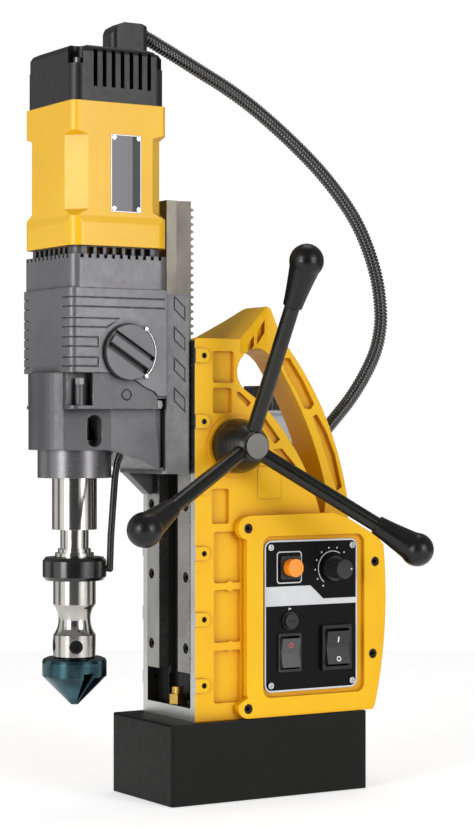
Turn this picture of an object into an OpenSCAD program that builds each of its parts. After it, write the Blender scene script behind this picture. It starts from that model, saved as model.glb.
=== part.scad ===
// Magnetic drill press: an electromagnet foot, a cast stand with a dovetail guide,
// and a motor, gearbox and spindle that ride up and down it on a rack feed.
// Millimetres. Z is up, the spindle is at -X, the control panel faces -Y.
// The origin is the middle of the magnet's underside.

/* [Node] */
// Piece to draw

/* [Magnet base] */
// Length of the magnet, front to back
base_length = 200; // [160:5:260]
// Width of the magnet
base_width = 106; // [92:2:140]
// Height of the magnet
base_height = 69; // [50:1:90]

/* [Stand] */
// Distance of the guide face ahead of the magnet's middle
guide_face = 73; // [60:1:80]
// Width of the column
stand_width = 90; // [88:1:110]
// Width of the carrying arch
arch_width = 34.5; // [32:0.5:48]
// How far the control door stands off the column
door_depth = 7; // [5:0.5:10]

/* [Guide] */
// Width of each clamping strip, at its front face
strip_width = 20; // [16:0.5:20.5]
// Thickness of the clamping strips
strip_thick = 12; // [8:0.5:14]
// Length of the dovetail rail
rail_length = 235; // [200:5:260]
// Slope of the dovetail's sides
dovetail_angle = 16; // [10:1:20]

/* [Feed] */
// Tooth size of the feed rack and its pinion
feed_module = 2; // [1.5:0.25:2]
// Teeth on the feed pinion
pinion_teeth = 25; // [20:1:26]
// Width of the feed rack
rack_width = 32; // [22:1:33]
// Length of each feed lever's bare rod
lever_length = 128; // [90:2:160]
// Thickness of the lever rods
lever_diameter = 13; // [9:0.5:15]
// Lean of the levers away from the stand
lever_lean = 24; // [10:1:35]
// Diameter of the ball ending each grip
grip_ball = 29; // [22:1:34]

/* [Spindle] */
// Distance of the spindle ahead of the guide face
spindle_reach = 92; // [88:1:110]
// Diameter of the spindle nose
nose_diameter = 38; // [32:1:40]
// Bore of the arbor, for a 3/4 inch shank
shank_diameter = 19.05; // [15.8:0.05:22]
// Diameter of the arbor's lower body
arbor_diameter = 36; // [32:1:42]
// Diameter of the coolant ring
ring_diameter = 54; // [46:1:60]
// Diameter of the countersink
countersink_diameter = 55; // [34:1:60]
// Drop of the countersink's tip below its rim
countersink_depth = 24.3; // [12:0.1:26]

/* [Motor and gearbox] */
// Width of the gearcase, side to side
case_width = 92; // [90:1:110]
// Width of the motor housing, side to side
motor_width = 86; // [82:1:100]
// Length of the motor housing
motor_height = 120; // [100:2:150]
// Height of the motor's end cap
cap_height = 47; // [36:1:60]
// Diameter of the selector knob
selector_diameter = 48; // [34:1:50]
// Tilt of the selector's grip at rest
selector_tilt = 32; // [0:1:60]

/* [Fits] */
// Radial clearance of turning parts
running_fit = 0.05; // [0.02:0.01:0.1]
// Clearance of the dovetail slide
slide_fit = 0.06; // [0.03:0.01:0.1]
// Clearance round push-in controls
control_gap = 0.4; // [0.3:0.05:0.6]
// Play between meshing teeth
tooth_play = 0.24; // [0.15:0.01:0.4]

/* [Hidden] */
$fn = 72;

e = 0.01;
lift = base_height - 69;          // raises everything above a taller base
gf = -guide_face;                 // guide face
sw = stand_width / 2;
af = 13;                          // arch's far face
aw = arch_width - af;             // arch's near face
xr = gf - 3;                      // back of the carriage
xs = gf - spindle_reach;          // spindle axis
pz = 304.7;                       // pinion height
pitch_r = feed_module * pinion_teeth / 2;
rail_back = 11;                   // rail's back face behind the guide face
rack_pitch_x = gf + 13.6;         // rack's pitch line
px = rack_pitch_x + pitch_r;      // pinion axis
pinion_wide = 20;
rail_top = 516;
rail_bot = rail_top - rail_length;
rail_half = 15.5;                 // dovetail half width at the carriage's back face
dt = tan(dovetail_angle);
motor_half = motor_width / 2;
motor_bot = 471.7;
motor_top = motor_bot + motor_height;
cap_top = motor_top + cap_height;
ch = case_width / 2;

// internal gears: motor pinion, layshaft pair and spindle wheel
m1 = 1.25;
m2 = 1.75;
t1 = 12;
t2 = 30;
t3 = 15;
t4 = 34;
c1 = m1 * (t1 + t2) / 2;
c2 = m2 * (t3 + t4) / 2;
axis_gap = 20.125;                // motor shaft behind the spindle
xm = xs + axis_gap;               // motor shaft
lx = (c2 * c2 - c1 * c1 + axis_gap * axis_gap) / (2 * axis_gap);
yl = sqrt(c2 * c2 - lx * lx);     // layshaft, on the far side
xl = xs + lx;
mesh_a = atan2(yl, xl - xm);      // from the motor shaft to the layshaft
mesh_b = atan2(yl, lx);           // from the spindle to the layshaft

module box(x0, x1, y0, y1, z0, z1) {
  translate([x0, y0, z0]) cube([x1 - x0, y1 - y0, z1 - z0]);
}

// a shape drawn in (x, z), pulled from y0 to y1
module xz(y0, y1) {
  translate([0, y1, 0]) rotate([90, 0, 0]) linear_extrude(y1 - y0) children();
}

// a shape drawn in (x, y), pulled from z0 to z1
module xy(z0, z1) {
  translate([0, 0, z0]) linear_extrude(z1 - z0) children();
}

module ycyl(x, z, y0, y1, r) {
  translate([x, y1, z]) rotate([90, 0, 0]) cylinder(h = y1 - y0, r = r);
}

module zcyl(x, y, z0, z1, r) {
  translate([x, y, z0]) cylinder(h = z1 - z0, r = r);
}

module rrect(x0, y0, x1, y1, r) {
  translate([x0 + r, y0]) square([x1 - x0 - 2 * r, y1 - y0]);
  translate([x0, y0 + r]) square([x1 - x0, y1 - y0 - 2 * r]);
  for (x = [x0 + r, x1 - r], y = [y0 + r, y1 - r]) translate([x, y]) circle(r);
}

// hexagon socket cap screw, head towards -Y, under-head face at y
module yscrew(x, z, y, head_r, head_h, shank_r, shank_l, key) {
  difference() {
    union() {
      ycyl(x, z, y - head_h, y, head_r);
      ycyl(x, z, y - e, y + shank_l, shank_r);
    }
    translate([x, y - head_h + key * 0.9, z]) rotate([90, 0, 0])
      cylinder(h = key, r = key * 0.577, $fn = 6);
  }
}

// points on the circle through a, b and c, from a to c
function arc3(a, b, c, n) =
  let (d = 2 * (a[0] * (b[1] - c[1]) + b[0] * (c[1] - a[1]) + c[0] * (a[1] - b[1])),
    sa = a * a, sb = b * b, sc = c * c,
    ux = (sa * (b[1] - c[1]) + sb * (c[1] - a[1]) + sc * (a[1] - b[1])) / d,
    uy = (sa * (c[0] - b[0]) + sb * (a[0] - c[0]) + sc * (b[0] - a[0])) / d,
    r = norm([a[0] - ux, a[1] - uy]),
    ta = atan2(a[1] - uy, a[0] - ux),
    tb = atan2(b[1] - uy, b[0] - ux),
    tc = atan2(c[1] - uy, c[0] - ux),
    ccw = ((tb - ta + 720) % 360) < ((tc - ta + 720) % 360),
    sweep = ccw ? (tc - ta + 720) % 360 : -((ta - tc + 720) % 360))
  [for (i = [0:n]) [ux + r * cos(ta + sweep * i / n), uy + r * sin(ta + sweep * i / n)]];

// involute spur gear outline, one tooth centred on the +x axis
function inv(a) = tan(a) - a * PI / 180;
module gear(m, t, play, add) {
  rp = m * t / 2;
  rb = rp * cos(20);
  ra = rp + add * m;
  rf = rp - 1.25 * m;
  r0 = max(rb, rf + 0.05);
  half = 90 / t - play / (2 * rp) * 90 / PI;
  n = 4;
  rs = [for (i = [0:n]) r0 + (ra - r0) * i / n];
  hw = [for (r = rs) half + (inv(20) - inv(acos(min(1, rb / r)))) * 180 / PI];
  polygon([for (k = [0:t - 1]) let (c = 360 * k / t)
    each concat([[rf * cos(c - hw[0]), rf * sin(c - hw[0])]],
      [for (i = [0:n]) [rs[i] * cos(c - hw[i]), rs[i] * sin(c - hw[i])]],
      [for (i = [n:-1:0]) [rs[i] * cos(c + hw[i]), rs[i] * sin(c + hw[i])]],
      [[rf * cos(c + hw[0]), rf * sin(c + hw[0])]])]);
}

// ---------- magnet ----------
coil_l = base_length - 34;
coil_w = base_width - 30;
coil_band = 14;

module coil_ring(z0, z1) {
  difference() {
    xy(z0, z1) rrect(-coil_l / 2, -coil_w / 2, coil_l / 2, coil_w / 2, 8);
    xy(z0 - 1, z1 + 1) rrect(-coil_l / 2 + coil_band, -coil_w / 2 + coil_band,
      coil_l / 2 - coil_band, coil_w / 2 - coil_band, 4);
  }
}

bolt_x = [-56, 84];
bolt_y = 30;

module magnet_core() {
  color([0.12, 0.12, 0.13]) difference() {
    intersection() {
      xy(0, base_height) rrect(-base_length / 2, -base_width / 2, base_length / 2,
        base_width / 2, 3);
      xz(-base_width / 2, base_width / 2) polygon([
        [-base_length / 2, 0], [base_length / 2, 0],
        [base_length / 2, base_height - 1.5], [base_length / 2 - 1.5, base_height],
        [-base_length / 2 + 1.5, base_height], [-base_length / 2, base_height - 1.5]]);
    }
    coil_ring(-1, base_height - 31);
    for (x = bolt_x, s = [-1, 1]) zcyl(x, s * 14, base_height - 22, base_height + 1, 4);
  }
}

module magnet_coil() {
  color([0.72, 0.4, 0.2]) coil_ring(0.4, base_height - 31);
}

module base_bolts() {
  color([0.3, 0.3, 0.32]) for (x = bolt_x, s = [-1, 1]) difference() {
    union() {
      zcyl(x, s * 14, base_height - 22, base_height + 7, 4);
      zcyl(x, s * 14, base_height + 7, base_height + 15, 6.5);
    }
    translate([x, s * 14, base_height + 11]) cylinder(h = 5, r = 3.4, $fn = 6);
  }
}

// ---------- stand ----------
body_outline = concat(
  [[gf, 69], [gf, 395], [gf + 2, 397], [-28, 397], [-28, 386]],
  arc3([-24, 383], [-31, 368], [-24.9, 354.6], 6),
  arc3([-9.6, 344.4], [33.9, 293.7], [55, 246], 8),
  [[60, 242], [79, 240], [108, 224]],
  arc3([116, 212], [118.5, 160], [107, 69], 8));
arch_outline = concat(
  [[-45, 330], [-45, 397], [-28, 397], [-13, 407.5], [-1, 416], [8, 423]],
  arc3([12, 426], [16, 427], [19, 424], 3),
  [[28, 404]],
  arc3([36, 392.5], [78, 327.5], [101.5, 250], 12),
  [[99, 200], [70, 200], [76, 250]],
  arc3([78, 262], [56.5, 324], [31, 369], 9),
  arc3([24, 379], [8, 389], [-12, 388], 5),
  arc3([-24, 383], [-31, 368], [-26, 356], 4));

module arch() {
  intersection() {
    xz(-sw, sw) polygon(arch_outline);
    xy(190, 440) polygon([[-60, -sw], [-28, -sw], [14, -aw], [110, -aw],
      [110, af], [14, af], [-28, sw], [-60, sw]]);
  }
}

// hollows cast into both faces of the arch's rim, shallow on the far face
module arch_pockets() {
  for (s = [0, 1]) mirror([0, s, 0]) {
    w = s > 0 ? af : aw;
    deep = s > 0 ? 2 : 4.5;
    xz(-w - 30, -w + deep) {
      polygon([[28, 382], [38.5, 382], [53, 362], [64.5, 341.5], [61, 337], [54, 337.5],
        [46.7, 351], [35.5, 367.5]]);
      polygon([[62.8, 330.5], [67.4, 332.5], [77.5, 317], [87, 295.5], [94.3, 267],
        [89, 263.5], [81.4, 282.5], [71, 311.5]]);
    }
    intersection() {
      xy(300, 440) polygon([[-60, -70], [110, -70], [110, -w + deep], [14, -w + deep],
        [-28, -sw + 4], [-60, -sw + 4]]);
      xz(-70, 0) {
        polygon([[-16, 391.5], [-6, 401], [-6, 391.5], [-16, 384]]);
        polygon([[-1, 404], [11, 415], [11, 404], [-1, 393]]);
      }
    }
  }
}

// hollows cast into both sides of the column and of the sloping web
module column_pockets(face, deep) {
  xz(face < 0 ? -sw - 1 : sw - deep, face < 0 ? -sw + deep : sw + 1) {
    rrect(gf + 18, 359, gf + 39, 386, 2);
    rrect(gf + 18, 333, gf + 37, 354.5, 2);
    rrect(gf + 19, 187, gf + 46, 231, 2);
    rrect(gf + 19, 136, gf + 46, 181, 2);
    rrect(gf + 19, 84, gf + 46, 129, 2);
    rrect(gf + 17, 238, gf + 34, 268, 2);
    polygon([[-31.3, 351.1], [-27.9, 351.2], [-16.4, 342], [-19.8, 338.5], [-25.9, 343.7],
      [-30.6, 347.1]]);
    polygon([[-6.2, 324.1], [-3, 329.9], [13.1, 310.2], [8.9, 306.5], [6.2, 307.3]]);
    polygon([[5.5, 301.5], [15.5, 302], [29.4, 287.3], [22.1, 289.2]]);
  }
}

lug_z = [382, 325.6, 269.2, 212.8, 156.4, 100];
strip_bot = 110;
strip_top = 394;
strip_pitch = 61.1;
strip_screw_z = [for (i = [0:4]) 130.9 + i * strip_pitch];
strip_out = rail_half + dt * (gf - xr) + strip_width + 1;
strip_screw_y = 29.8;
strip_screw_reach = pitch_r + 1;  // ends ahead of the pinion's bushes
door_screw_pts = [[-23.5, 233.5], [-23.5, 78], [109.5, 201], [107, 119]];

module stand_housing() {
  color([0.95, 0.72, 0.1]) translate([0, 0, lift]) difference() {
    union() {
      xz(-sw, sw) polygon(body_outline);
      arch();
      for (s = [0, 1]) mirror([0, s, 0]) {
        ycyl(px, pz, -sw - 2, -sw, 27);
        for (z = lug_z) {
          ycyl(gf + 8.5, z, -sw - 1.5, -sw, 6);
          box(gf, gf + 8.5, -sw - 1.5, -sw, z - 6, z + 6);
        }
        for (z = [132.5, 184]) ycyl(gf + 35, z, -sw, -sw + 4, 4.4);
        xz(-sw - 0.8, -sw) rrect(-10, 259, 13.5, 286.5, 2);
      }
    }
    // guide channel: seats for the strips, way for the rail and for the rack
    box(gf - 1, gf + strip_thick - 0.3, -strip_out, strip_out, strip_bot - 30, 400);
    box(gf - 1, gf + rail_back + 1.5, -24, 24, strip_bot - 30, 400);
    box(gf - 1, gf + 18, -rack_width / 2 - 2, rack_width / 2 + 2, strip_bot - 30, 400);
    // pinion chamber and its shaft hole
    ycyl(px, pz, -pinion_wide / 2 - 1, pinion_wide / 2 + 1, pitch_r + feed_module + 1.5);
    ycyl(px, pz, -sw - 5, sw + 5, 14);
    // control compartment, open behind the door
    box(-22, 104, -sw - 5, sw - 6, 90, 226);
    for (x = bolt_x, s = [-1, 1]) {
      zcyl(x, s * 14, 60, 100, 4.2);
      if (x < 0) zcyl(x, s * 14, 76, 105, 8);
    }
    box(70, 98, -24, 24, 76, 91);
    difference() {
      union() {
        column_pockets(-1, 3.5);
        column_pockets(1, 3.5);
      }
      for (z = [132.5, 184]) ycyl(gf + 35, z, -sw - 2, sw + 2, 4.4);
    }
    arch_pockets();
    for (z = lug_z, s = [0, 1]) mirror([0, s, 0]) ycyl(gf + 8.5, z, -sw - 5, -strip_out + 1, 2.5);
    for (z = strip_screw_z, s = [-1, 1]) translate([gf, s * strip_screw_y, z])
      rotate([0, 90, 0]) cylinder(h = strip_screw_reach, r = 2.5);
    for (p = door_screw_pts) ycyl(p[0], p[1], -sw - 3, -sw + 12, 2.5);
    zcyl(gf + 9, 0, 74, 81, 3);
    // way for the cable between the gland and the compartment
    pipe_rod([76, 0, 303], [94, 0, 222], 3.5);
    // flat seat for the gland and holes for the bottle bracket
    gland_cut();
    for (z = [258, 272]) ycyl(52, z, sw - 12, sw + 1, 2);
  }
}

gland_pos = [81, 0, 309.5];
gland_tilt = 50;

module gland_cut() {
  translate([gland_pos[0], gland_pos[1], gland_pos[2]]) rotate([0, gland_tilt, 0])
    translate([0, 0, -6]) cylinder(h = 40, r = 10.5);
}

module strip_shape() {
  g = slide_fit;
  fr = rail_half + dt * (gf - xr - 0.3) + g;
  bk = rail_half + dt * (gf - xr - 0.3 + strip_thick) + g;
  difference() {
    xy(strip_bot, strip_top) polygon([[gf - 0.3, fr], [gf - 0.3 + strip_thick, bk],
      [gf - 0.3 + strip_thick, fr + strip_width], [gf - 0.3, fr + strip_width]]);
    for (z = strip_screw_z) translate([gf - 1.3, strip_screw_y, z]) rotate([0, 90, 0]) {
      cylinder(h = 7, r = 4.6);
      cylinder(h = 30, r = 2.7);
    }
    for (z = lug_z) if (z > strip_bot) ycyl(gf + 8.5, z, strip_out - 4, strip_out + 3, 0.5);
  }
}

module guide_strips() {
  color([0.62, 0.62, 0.62]) translate([0, 0, lift]) for (s = [0, 1])
    mirror([0, s, 0]) strip_shape();
}

module strip_screws() {
  color([0.15, 0.15, 0.16]) translate([0, 0, lift])
    for (z = strip_screw_z, s = [-1, 1]) translate([gf, s * strip_screw_y, z])
      rotate([0, 0, -90]) difference() {
        yscrew(0, 0, 5.7, 4.5, 5, 2.45, strip_screw_reach - 8, 4);
      }
}

module gib_screws() {
  color([0.15, 0.15, 0.16]) translate([0, 0, lift])
    for (z = lug_z, s = [0, 1]) mirror([0, s, 0]) difference() {
      ycyl(gf + 8.5, z, -sw - 1, z > strip_bot ? -strip_out + 0.7 : -sw + 8, 2.5);
      translate([gf + 8.5, -sw + 1, z]) rotate([90, 0, 0])
        cylinder(h = 3, r = 1.4, $fn = 6);
    }
}

module stop_screw() {
  color([0.75, 0.6, 0.25]) translate([gf + 9, 0, lift]) {
    zcyl(0, 0, 74, 84, 3);
    translate([0, 0, 80]) cylinder(h = 9, r = 8, $fn = 6);
    zcyl(0, 0, 88, 95, 5);
  }
}

module pinion_bushes() {
  color([0.7, 0.55, 0.3]) translate([0, 0, lift]) for (s = [0, 1]) mirror([0, s, 0])
    difference() {
      ycyl(px, pz, -sw - 1, -pinion_wide / 2 - 2, 14);
      ycyl(px, pz, -sw - 3, 0, 10 + running_fit);
    }
}

// ---------- control door and its fittings ----------
dy = -sw - door_depth;
plate_y = dy + 2.8;
panel = [-5.6, 90.3, 91.7, 222.3];
door_outline = concat(
  [[-25, 89], [-24, 87.5]],
  arc3([-33.5, 82], [-29, 71], [-23.5, 69.5], 5),
  [[107, 69.5]],
  arc3([109.5, 74], [120.8, 160], [118.5, 216], 9),
  [[111, 224], [79, 241], [65, 245.5], [-22, 244.5]],
  arc3([-26, 243.8], [-34, 234], [-25, 223.5], 6));

button_at = [20, 198.5];
dial_at = [65.4, 196.5];
fuse_at = [20, 152];
sw1 = [7.8, 107.5, 31.7, 141];
sw2 = [52.5, 107, 83.5, 146.5];

module control_door() {
  color([0.93, 0.7, 0.1]) translate([0, 0, lift]) difference() {
    xz(dy, -sw) polygon(door_outline);
    xz(dy - 1, plate_y + 1) rrect(panel[0] - 3, panel[1] - 4, panel[2] + 6, panel[3] + 4, 8);
    for (p = door_screw_pts) {
      ycyl(p[0], p[1], dy - 1, dy + 4, 4.3);
      ycyl(p[0], p[1], dy - 1, 0, 2.7);
    }
    ycyl(button_at[0], button_at[1], dy - 1, 0, 10.5);
    ycyl(dial_at[0], dial_at[1], dy - 1, 0, 5.5);
    ycyl(fuse_at[0], fuse_at[1], dy - 1, 0, 6.5);
    xz(dy - 1, 0) {
      translate([sw1[0] + 1.2, sw1[1] + 1.2])
        square([sw1[2] - sw1[0] - 2.4, sw1[3] - sw1[1] - 2.4]);
      translate([sw2[0] + 2, sw2[1] + 2]) square([sw2[2] - sw2[0] - 4, sw2[3] - sw2[1] - 4]);
    }
    for (x = [panel[0] + 6, panel[2] - 6], z = [panel[1] + 6, panel[3] - 6])
      ycyl(x, z, dy - 1, 0, 1.5);
  }
}

module door_screws() {
  color([0.2, 0.2, 0.22]) translate([0, 0, lift]) for (p = door_screw_pts)
    yscrew(p[0], p[1], dy + 4, 4.3, 3, 2.5, door_depth + 6, 3.4);
}

print = 0.15;   // how far the printed layer stands proud

module control_plate() {
  color([0.06, 0.06, 0.07]) translate([0, 0, lift]) {
    difference() {
      xz(plate_y, plate_y + 1) rrect(panel[0], panel[1], panel[2], panel[3], 7);
      ycyl(button_at[0], button_at[1], plate_y - 1, 0, 10.5);
      ycyl(dial_at[0], dial_at[1], plate_y - 1, 0, 5.5);
      ycyl(fuse_at[0], fuse_at[1], plate_y - 1, 0, 6.5);
      xz(plate_y - 1, 0) {
        translate([sw1[0] + 1.2, sw1[1] + 1.2])
          square([sw1[2] - sw1[0] - 2.4, sw1[3] - sw1[1] - 2.4]);
        translate([sw2[0] + 2, sw2[1] + 2]) square([sw2[2] - sw2[0] - 4, sw2[3] - sw2[1] - 4]);
      }
      for (x = [panel[0] + 6, panel[2] - 6], z = [panel[1] + 6, panel[3] - 6])
        ycyl(x, z, plate_y - 1, 0, 1.5);
    }
    // white print: border, stripe, button frame, dial scale
    xz(plate_y - print, plate_y + e) {
      difference() {
        rrect(panel[0], panel[1], panel[2], panel[3], 7);
        rrect(panel[0] + 1.5, panel[1] + 1.5, panel[2] - 1.5, panel[3] - 1.5, 5.6);
      }
      difference() {
        polygon([[panel[0] + 1, 182], [42, 182], [55.5, 170], [panel[2] - 1, 170],
          [panel[2] - 1, 165], [panel[0] + 1, 165]]);
      }
      difference() {
        rrect(button_at[0] - 13, button_at[1] - 14, button_at[0] + 13, button_at[1] + 14, 3);
        rrect(button_at[0] - 12, button_at[1] - 13, button_at[0] + 12, button_at[1] + 13, 2.2);
      }
      difference() {
        translate([dial_at[0], dial_at[1]]) circle(15.4);
        translate([dial_at[0], dial_at[1]]) circle(14.6);
        translate([dial_at[0], dial_at[1]]) polygon([[0, 0], [14, 22], [40, 10], [30, -40],
          [-18, -40], [-12, -16]]);
      }
      for (a = [48:27:237]) translate([dial_at[0] + 18.3 * cos(a), dial_at[1] + 18.3 * sin(a)])
        circle(0.8);
      translate([fuse_at[0] - 1, fuse_at[1] + 9]) polygon([[0, 0], [3.5, 1.4], [0.4, 2.4]]);
    }
  }
}

module plate_screws() {
  color([0.8, 0.8, 0.8]) translate([0, 0, lift])
    for (x = [panel[0] + 6, panel[2] - 6], z = [panel[1] + 6, panel[3] - 6]) difference() {
      union() {
        ycyl(x, z, plate_y - 1.6, plate_y, 2.8);
        ycyl(x, z, plate_y - e, plate_y + 5, 1.5);
      }
      box(x - 0.4, x + 0.4, plate_y - 3, plate_y - 0.9, z - 2, z + 2);
      box(x - 2, x + 2, plate_y - 3, plate_y - 0.9, z - 0.4, z + 0.4);
    }
}

module control_board() {
  color([0.1, 0.35, 0.15]) translate([0, 0, lift]) {
    box(-16, 98, sw - 14, sw - 12.4, 98, 220);
    for (x = [-10, 92], z = [104, 214]) ycyl(x, z, sw - 12.5, sw - 6, 3);
    box(20, 60, sw - 40, sw - 14 + e, 150, 205);
    for (x = [-8, 4, 74]) ycyl(x, 120, sw - 34, sw - 14 + e, 5);
  }
}

button_r = 7.8;
module button_body() {
  color([0.08, 0.08, 0.09]) translate([0, 0, lift]) difference() {
    union() {
      xz(plate_y - 3.2, plate_y) rrect(button_at[0] - 10.2, button_at[1] - 10.2,
        button_at[0] + 10.2, button_at[1] + 10.2, 1.5);
      ycyl(button_at[0], button_at[1], plate_y - e, plate_y + 26, 9.8);
    }
    ycyl(button_at[0], button_at[1], plate_y - 4, plate_y + 16, button_r + control_gap);
  }
}

module reverse_button() {
  color([1, 0.6, 0.05]) translate([0, 0, lift])
    ycyl(button_at[0], button_at[1], plate_y - 11, plate_y + 12, button_r);
}

module speed_control() {
  color([0.2, 0.2, 0.2]) translate([0, 0, lift]) difference() {
    union() {
      ycyl(dial_at[0], dial_at[1], plate_y - 2, plate_y + 7, 5.2);
      ycyl(dial_at[0], dial_at[1], plate_y + 5.5, plate_y + 22, 12);
    }
    ycyl(dial_at[0], dial_at[1], plate_y - 3, plate_y + 18, 3 + running_fit);
  }
}

module speed_dial() {
  color([0.1, 0.1, 0.1]) translate([0, 0, lift]) difference() {
    union() {
      ycyl(dial_at[0], dial_at[1], plate_y - 5, plate_y - 0.6, 11);
      ycyl(dial_at[0], dial_at[1], plate_y - 20, plate_y - 5 + e, 8.4);
      for (a = [0:20:340]) ycyl(dial_at[0] + 8.1 * cos(a), dial_at[1] + 8.1 * sin(a),
        plate_y - 19, plate_y - 5, 0.8);
      ycyl(dial_at[0], dial_at[1], plate_y - 10, plate_y + 15, 3);
      ycyl(dial_at[0] + 6.6, dial_at[1], plate_y - 20.2, plate_y - 19, 0.8);
    }
    difference() {
      ycyl(dial_at[0], dial_at[1], plate_y - 3, plate_y, 5.6);
      ycyl(dial_at[0], dial_at[1], plate_y - 4, plate_y + 1, 3);
    }
  }
}

module fuse_holder() {
  color([0.1, 0.1, 0.1]) translate([0, 0, lift]) difference() {
    union() {
      ycyl(fuse_at[0], fuse_at[1], plate_y - 2, plate_y, 8);
      ycyl(fuse_at[0], fuse_at[1], plate_y - e, plate_y + 28, 6.3);
    }
    ycyl(fuse_at[0], fuse_at[1], plate_y - 3, plate_y + 24, 5 + control_gap);
  }
}

module fuse_cap() {
  color([0.16, 0.16, 0.17]) translate([0, 0, lift]) difference() {
    union() {
      ycyl(fuse_at[0], fuse_at[1], plate_y - 5, plate_y - 2, 6.6);
      ycyl(fuse_at[0], fuse_at[1], plate_y - 3, plate_y + 20, 5);
    }
    box(fuse_at[0] - 4, fuse_at[0] + 4, plate_y - 6, plate_y - 4, fuse_at[1] - 0.6,
      fuse_at[1] + 0.6);
  }
}

rock_y = plate_y + 3;   // pivot line of the rockers

module rocker_frame(r, wall, lip) {
  difference() {
    union() {
      xz(plate_y - lip, plate_y) rrect(r[0], r[1], r[2], r[3], 1.5);
      xz(plate_y - e, plate_y + 20) translate([r[0] + wall - 0.2, r[1] + wall - 0.2])
        square([r[2] - r[0] - 2 * wall + 0.4, r[3] - r[1] - 2 * wall + 0.4]);
    }
    xz(plate_y - lip - 1, plate_y + 12) translate([r[0] + wall + 0.8, r[1] + wall + 0.8])
      square([r[2] - r[0] - 2 * wall - 1.6, r[3] - r[1] - 2 * wall - 1.6]);
    translate([r[0] + wall - 0.3, rock_y, (r[1] + r[3]) / 2]) rotate([0, 90, 0])
      cylinder(h = r[2] - r[0] - 2 * wall + 0.6, r = 1.5 + running_fit);
  }
}

// rocker: a wide vee that turns on two side pins
module rocker(r, wall, lip, tilt) {
  w = r[2] - r[0] - 2 * wall - 1.6 - 2 * control_gap;
  h = r[3] - r[1] - 2 * wall - 1.6 - 4 * control_gap;
  cx = (r[0] + r[2]) / 2;
  cz = (r[1] + r[3]) / 2;
  translate([cx, rock_y, cz]) rotate([tilt, 0, 0]) {
    intersection() {
      translate([-w / 2, 0, 0]) rotate([0, 90, 0]) rotate([0, 0, 90])
        linear_extrude(w) polygon([[-lip - 6.4, -h / 2 + 1], [-lip - 3.6, 0],
          [-lip - 6.4, h / 2 - 1], [-1, h / 2 - 1], [5, 4], [5, -4], [-1, -h / 2 + 1]]);
      translate([-w / 2, 0, 0]) rotate([0, 90, 0]) cylinder(h = w, r = h / 2 + 2);
    }
    translate([-w / 2 - control_gap - 0.7, 0, 0]) rotate([0, 90, 0])
      cylinder(h = w + 2 * control_gap + 1.4, r = 1.5);
  }
}

module motor_switch() {
  color([0.13, 0.13, 0.14]) translate([0, 0, lift]) rocker_frame(sw1, 1.5, 1.8);
}

module motor_rocker() {
  color([0.22, 0.22, 0.23]) translate([0, 0, lift]) rocker(sw1, 1.5, 1.8, 0);
}

module magnet_switch() {
  color([0.07, 0.07, 0.08]) translate([0, 0, lift]) rocker_frame(sw2, 2.5, 4);
}

module magnet_rocker() {
  color([0.07, 0.07, 0.08]) translate([0, 0, lift]) rocker(sw2, 2.5, 4, 0);
}

// ---------- coolant bottle ----------
bx = 76;
by = sw + 34;
bottle_r = 30;

module coolant_bottle() {
  color([0.92, 0.93, 0.95]) translate([bx, by, lift]) difference() {
    rotate_extrude() polygon([[0, 178], [bottle_r - 3, 178], [bottle_r, 181],
      [bottle_r, 316], [bottle_r - 2, 325], [bottle_r - 8, 331], [16, 334], [16, 352], [0, 352]]);
    rotate_extrude() polygon([[0, 180], [bottle_r - 4, 180], [bottle_r - 1.7, 182.5],
      [bottle_r - 1.7, 315.6], [bottle_r - 3.5, 323.8], [bottle_r - 9, 329.3], [14.3, 332.4],
      [14.3, 353], [0, 353]]);
  }
}

module bottle_cap() {
  color([0.08, 0.08, 0.08]) translate([bx, by, lift]) difference() {
    union() {
      zcyl(0, 0, 336.5, 359, 20);
      for (a = [0:12:348]) zcyl(20 * cos(a), 20 * sin(a), 337.5, 356.5, 0.9);
    }
    zcyl(0, 0, 336, 355, 16);
  }
}

module bottle_bracket() {
  color([0.08, 0.08, 0.08]) translate([0, 0, lift]) {
    difference() {
      union() {
        translate([bx, by, 0]) zcyl(0, 0, 244, 306, bottle_r + 3);
        box(bx - 32, bx - 4, sw, by, 250, 278);
      }
      translate([bx, by, 0]) zcyl(0, 0, 240, 310, bottle_r);
    }
    for (z = [258, 272]) ycyl(52, z, sw - 11, sw + e, 2);
  }
}

// ---------- conduit ----------
module conduit_gland() {
  color([0.06, 0.06, 0.06]) translate([gland_pos[0], gland_pos[1], gland_pos[2] + lift])
    rotate([0, gland_tilt, 0]) difference() {
      union() {
        translate([0, 0, -6]) cylinder(h = 10, r = 9.5);
        cylinder(h = 8, r = 9.8, $fn = 6);
      }
      translate([0, 0, -7]) cylinder(h = 5, r = 4);
      translate([0, 0, -3]) cylinder(h = 20, r = 6.4);
    }
}

conduit_r = 6.2;
conduit_path = [[-104, 0, 659.5], [-95, 0, 656.8], [-81, 0, 650.6], [-66, 0, 644], [-41, 0, 632.5],
  [-16, 0, 621], [10, 0, 607], [37, 0, 589.5], [63, 0, 570.5], [86, 0, 551.5], [107.5, 0, 530],
  [125, 0, 508], [138.5, 0, 483], [148, 0, 456], [152, 0, 430], [151.5, 0, 411], [146, 0, 390],
  [134, 0, 368], [118.5, 0, 347], [103.5, 0, 331], [92, 0, 319.5], [81, 0, 309.6]];
conduit_sides = 12;

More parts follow.
